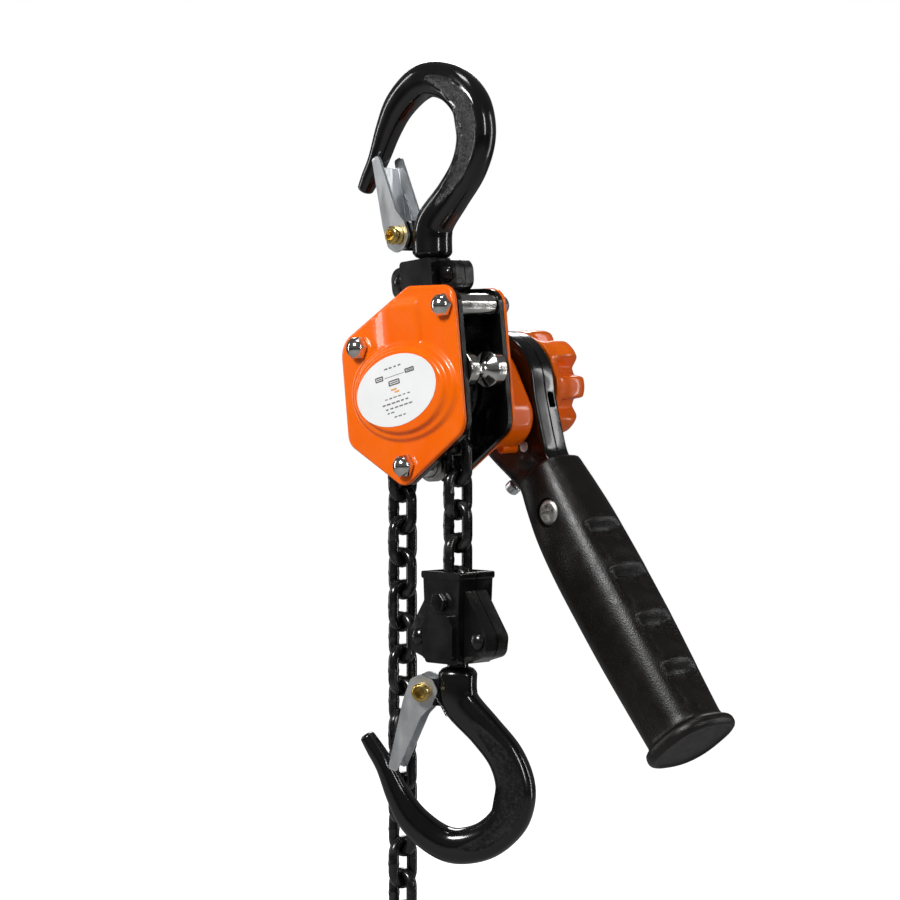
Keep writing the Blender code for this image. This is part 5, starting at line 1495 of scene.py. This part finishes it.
def grip_ring(z, half_x, half_y, shift, power, sides=144):
    """A squarish ring of the grip, dented on the side of the fingers."""
    ring = []
    for turn in turns(sides):
        c, s = math.cos(turn), math.sin(turn)
        reach = (abs(c) ** power + abs(s) ** power) ** (-1 / power)
        degrees = math.degrees(math.atan2(s, c))
        share = step_up(degrees, -42, -31) * (1 - step_up(degrees, 16, 44))
        dent = finger_dent(z) * share
        x, y = c * half_x * reach, s * half_y * reach
        length = math.hypot(x, y)
        squeeze = (length - dent) / length if length > 5 else 1.0
        ring.append(Vector((x * squeeze - shift, GRIP_Y + y * squeeze, z)))
    return ring


def grip():
    rows = [*GRIP_ROWS[:3], *eased(GRIP_ROWS[3:], 18), *GRIP_FLANGE]
    body = loft("grip", [grip_ring(*row) for row in rows])
    tang_low = HOUSING_FRONT + 2.4 - 0.35
    tang_high = HOUSING_BACK - 2.4 + 0.35
    cut(body, block("grip_socket", (-TANG_HALF - 0.35, tang_low, -105.0),
                    (TANG_HALF + 0.35, tang_high, -35.8)))
    cut(body, rod("grip_screw_hole", 2.3, GRIP_Y - 16, GRIP_Y + 16, (0, SCREW_Z), 32))
    cut(body, rod("grip_screw_seat", 5.5, GRIP_Y - 16, GRIP_Y - 10.0, (0, SCREW_Z), 64))
    cut(body, rod("grip_nut_seat", 5.2, GRIP_Y + 10.0, GRIP_Y + 16, (0, SCREW_Z), 64))
    place("grip", body, TO_LEVER, "grip_plastic", smooth=48)
    seat = 10.0 - TOUCH
    profile = [(0, -seat - 2.9), (3.6, -seat - 2.75), (4.5, -seat - 2.3), (5.0, -seat - 1.5),
               (5.1, -seat - 0.9), (5.1, -seat - 0.3), (2.0, -seat - 0.3), (2.0, seat + 3.4), (0, seat + 3.4)]
    screw = turned("grip_screw", profile, at=(0, GRIP_Y, SCREW_Z), sides=64, soft=0.35)
    outer = GRIP_Y - seat - 4
    inner = GRIP_Y - seat - 1.3
    settled(screw)
    cross_a = block("cross_a", (-3.0, outer, SCREW_Z - 0.75), (3.0, inner, SCREW_Z + 0.75))
    cross_b = block("cross_b", (-0.75, outer, SCREW_Z - 3.0), (0.75, inner, SCREW_Z + 3.0))
    cut(screw, *(spun(tool, 24, 0, SCREW_Z) for tool in (cross_a, cross_b)))
    place("grip_screw", screw, TO_LEVER, "dull_chrome")
    nut = hex_nut("grip_nut", (0, SCREW_Z), 8.6, 2.15, GRIP_Y + 10.3, GRIP_Y + 13.2)
    place("grip_nut", nut, TO_LEVER, "chrome_plate")


# ---------------------------------------------------------------- build

hook_set("top", TO_TOP, 1, 0.0, 0.95)
hook_set("bottom", TO_SWIVEL, -1, 40.0, 0.4)
yoke_set("top", TOP_YOKE, TO_FRAME)
yoke_set("bottom", BOTTOM_YOKE, TO_SHAFT)
chain_pin()
side_plates()
end_cover()
label()
brake_cover()
stays()
guide_roller("guide_roller_load", ROLLER_X)
guide_roller("guide_roller_tail", -ROLLER_X)
frame_inside()
load_shaft()
brake()
brake_pawl()
hand_wheel()
lever_housing()
selector()
grip()
chains()

for node, shown in frame["nodes"].items():
    if not shown.hide_render:
        shown.data.materials.clear()
        shown.data.materials.append(LOOKS[SLOT_OF[node]])
        print("still the CAD solid:", node)

for leftover in list(WORK.objects):
    bpy.data.objects.remove(leftover, do_unlink=True)
bpy.data.collections.remove(WORK)

# ---------------------------------------------------------------- floor, light and camera

FLOOR_GLOW = 0.92
FLOOR_DROP = 0.14


def floor_look():
    """Near white to the eye, but a dimmer surface to the light that it sends back up."""
    look = Look("pale_floor", Specular_IOR_Level=0.05)
    seen = look.nodes.new("ShaderNodeLightPath").outputs["Is Camera Ray"]
    pale = look.clouded(3, 3, (0.93, 0.93, 0.93), (0.96, 0.96, 0.96))
    look.colour(look.mixed(seen, (0.30, 0.30, 0.30), pale))
    look.roughness(look.ranged(look.noise(8, 3), 0.3, 0.7, 0.75, 0.9))
    look.bump((look.noise(40, 2), 0.02, 0.001))
    look.shader.inputs["Emission Color"].default_value = (1, 1, 1, 1)
    look.links.new(look.math("MULTIPLY", seen, FLOOR_GLOW), look.shader.inputs["Emission Strength"])
    return look.material


def floor():
    """A wide pale floor just under the object."""
    bm = bmesh.new()
    bmesh.ops.create_grid(bm, x_segments=24, y_segments=24, size=9.0)
    mesh = ended("floor", bm)
    mesh.materials.append(floor_look())
    made = bpy.data.objects.new("floor", mesh)
    made.location = (0, 0, cad_low.z - FLOOR_DROP)
    bpy.context.scene.collection.objects.link(made)


def world():
    """An even, pale room: dim as a light, bright as a backdrop."""
    made = bpy.data.worlds.new("studio")
    bpy.context.scene.world = made
    made.use_nodes = True
    nodes, links = made.node_tree.nodes, made.node_tree.links
    dim = nodes["Background"]
    dim.inputs["Color"].default_value = (1, 1, 1, 1)
    dim.inputs["Strength"].default_value = 0.09
    bright = nodes.new("ShaderNodeBackground")
    bright.inputs["Color"].default_value = (1, 1, 1, 1)
    bright.inputs["Strength"].default_value = 1.0
    mix = nodes.new("ShaderNodeMixShader")
    ray = nodes.new("ShaderNodeLightPath")
    links.new(ray.outputs["Is Camera Ray"], mix.inputs["Fac"])
    links.new(dim.outputs["Background"], mix.inputs[1])
    links.new(bright.outputs["Background"], mix.inputs[2])
    links.new(mix.outputs["Shader"], nodes["World Output"].inputs["Surface"])


LAMPS = (
    # name, azimuth as for a camera (0 in front of -Y), elevation, distance, size, power
    ("key", 4, 36, 1.2, (0.3, 0.3), 13.0),
    ("fill", 92, 16, 1.3, (0.08, 0.6), 3.2),
    ("left_strip", -62, 8, 1.1, (0.06, 0.8), 1.7),
    ("right_strip", 142, 4, 1.0, (0.05, 0.8), 1.6),
    ("top", 60, 84, 1.0, (0.3, 0.15), 1.6),
    ("back", 225, 30, 1.2, (0.5, 0.4), 4.0),
)
LAMP_AIM = Vector((0.0, 0.0, -0.12))


def lamp(name, azimuth, elevation, distance, size, power):
    """A soft panel on a sphere round the object."""
    a, e = math.radians(azimuth), math.radians(elevation)
    away = Vector((math.sin(a) * math.cos(e), -math.cos(a) * math.cos(e), math.sin(e)))
    data = bpy.data.lights.new(name, "AREA")
    data.shape = "RECTANGLE"
    data.size, data.size_y = size
    data.energy = power
    made = bpy.data.objects.new(name, data)
    made.location = LAMP_AIM + away * distance
    made.rotation_euler = (-away).to_track_quat("-Z", "Y").to_euler()
    bpy.context.scene.collection.objects.link(made)


VIEW = (45.0, 2.0)  # azimuth and elevation
VIEW_DISTANCE = 1.1
VIEW_CENTRE = (7.353, -22.794)  # to the right of the shaft's middle and above it, in the view
LENS = 119.7


def camera():
    azimuth, elevation = (math.radians(angle) for angle in VIEW)
    right = Vector((math.cos(azimuth), math.sin(azimuth), 0))
    level = math.cos(elevation)
    ahead = Vector((-math.sin(azimuth) * level, math.cos(azimuth) * level, -math.sin(elevation)))
    up = right.cross(ahead)
    target = (SHAFT + right * VIEW_CENTRE[0] + up * VIEW_CENTRE[1]) * MM
    data = bpy.data.cameras.new("camera")
    data.lens = LENS
    data.sensor_width = 36.0
    data.clip_start, data.clip_end = 0.05, 60
    made = bpy.data.objects.new("camera", data)
    made.location = target - ahead * VIEW_DISTANCE
    made.rotation_euler = ahead.to_track_quat("-Z", "Y").to_euler()
    bpy.context.scene.collection.objects.link(made)
    bpy.context.scene.camera = made


floor()
world()
for row in LAMPS:
    lamp(*row)
camera()
bpy.context.scene.view_settings.view_transform = "Standard"
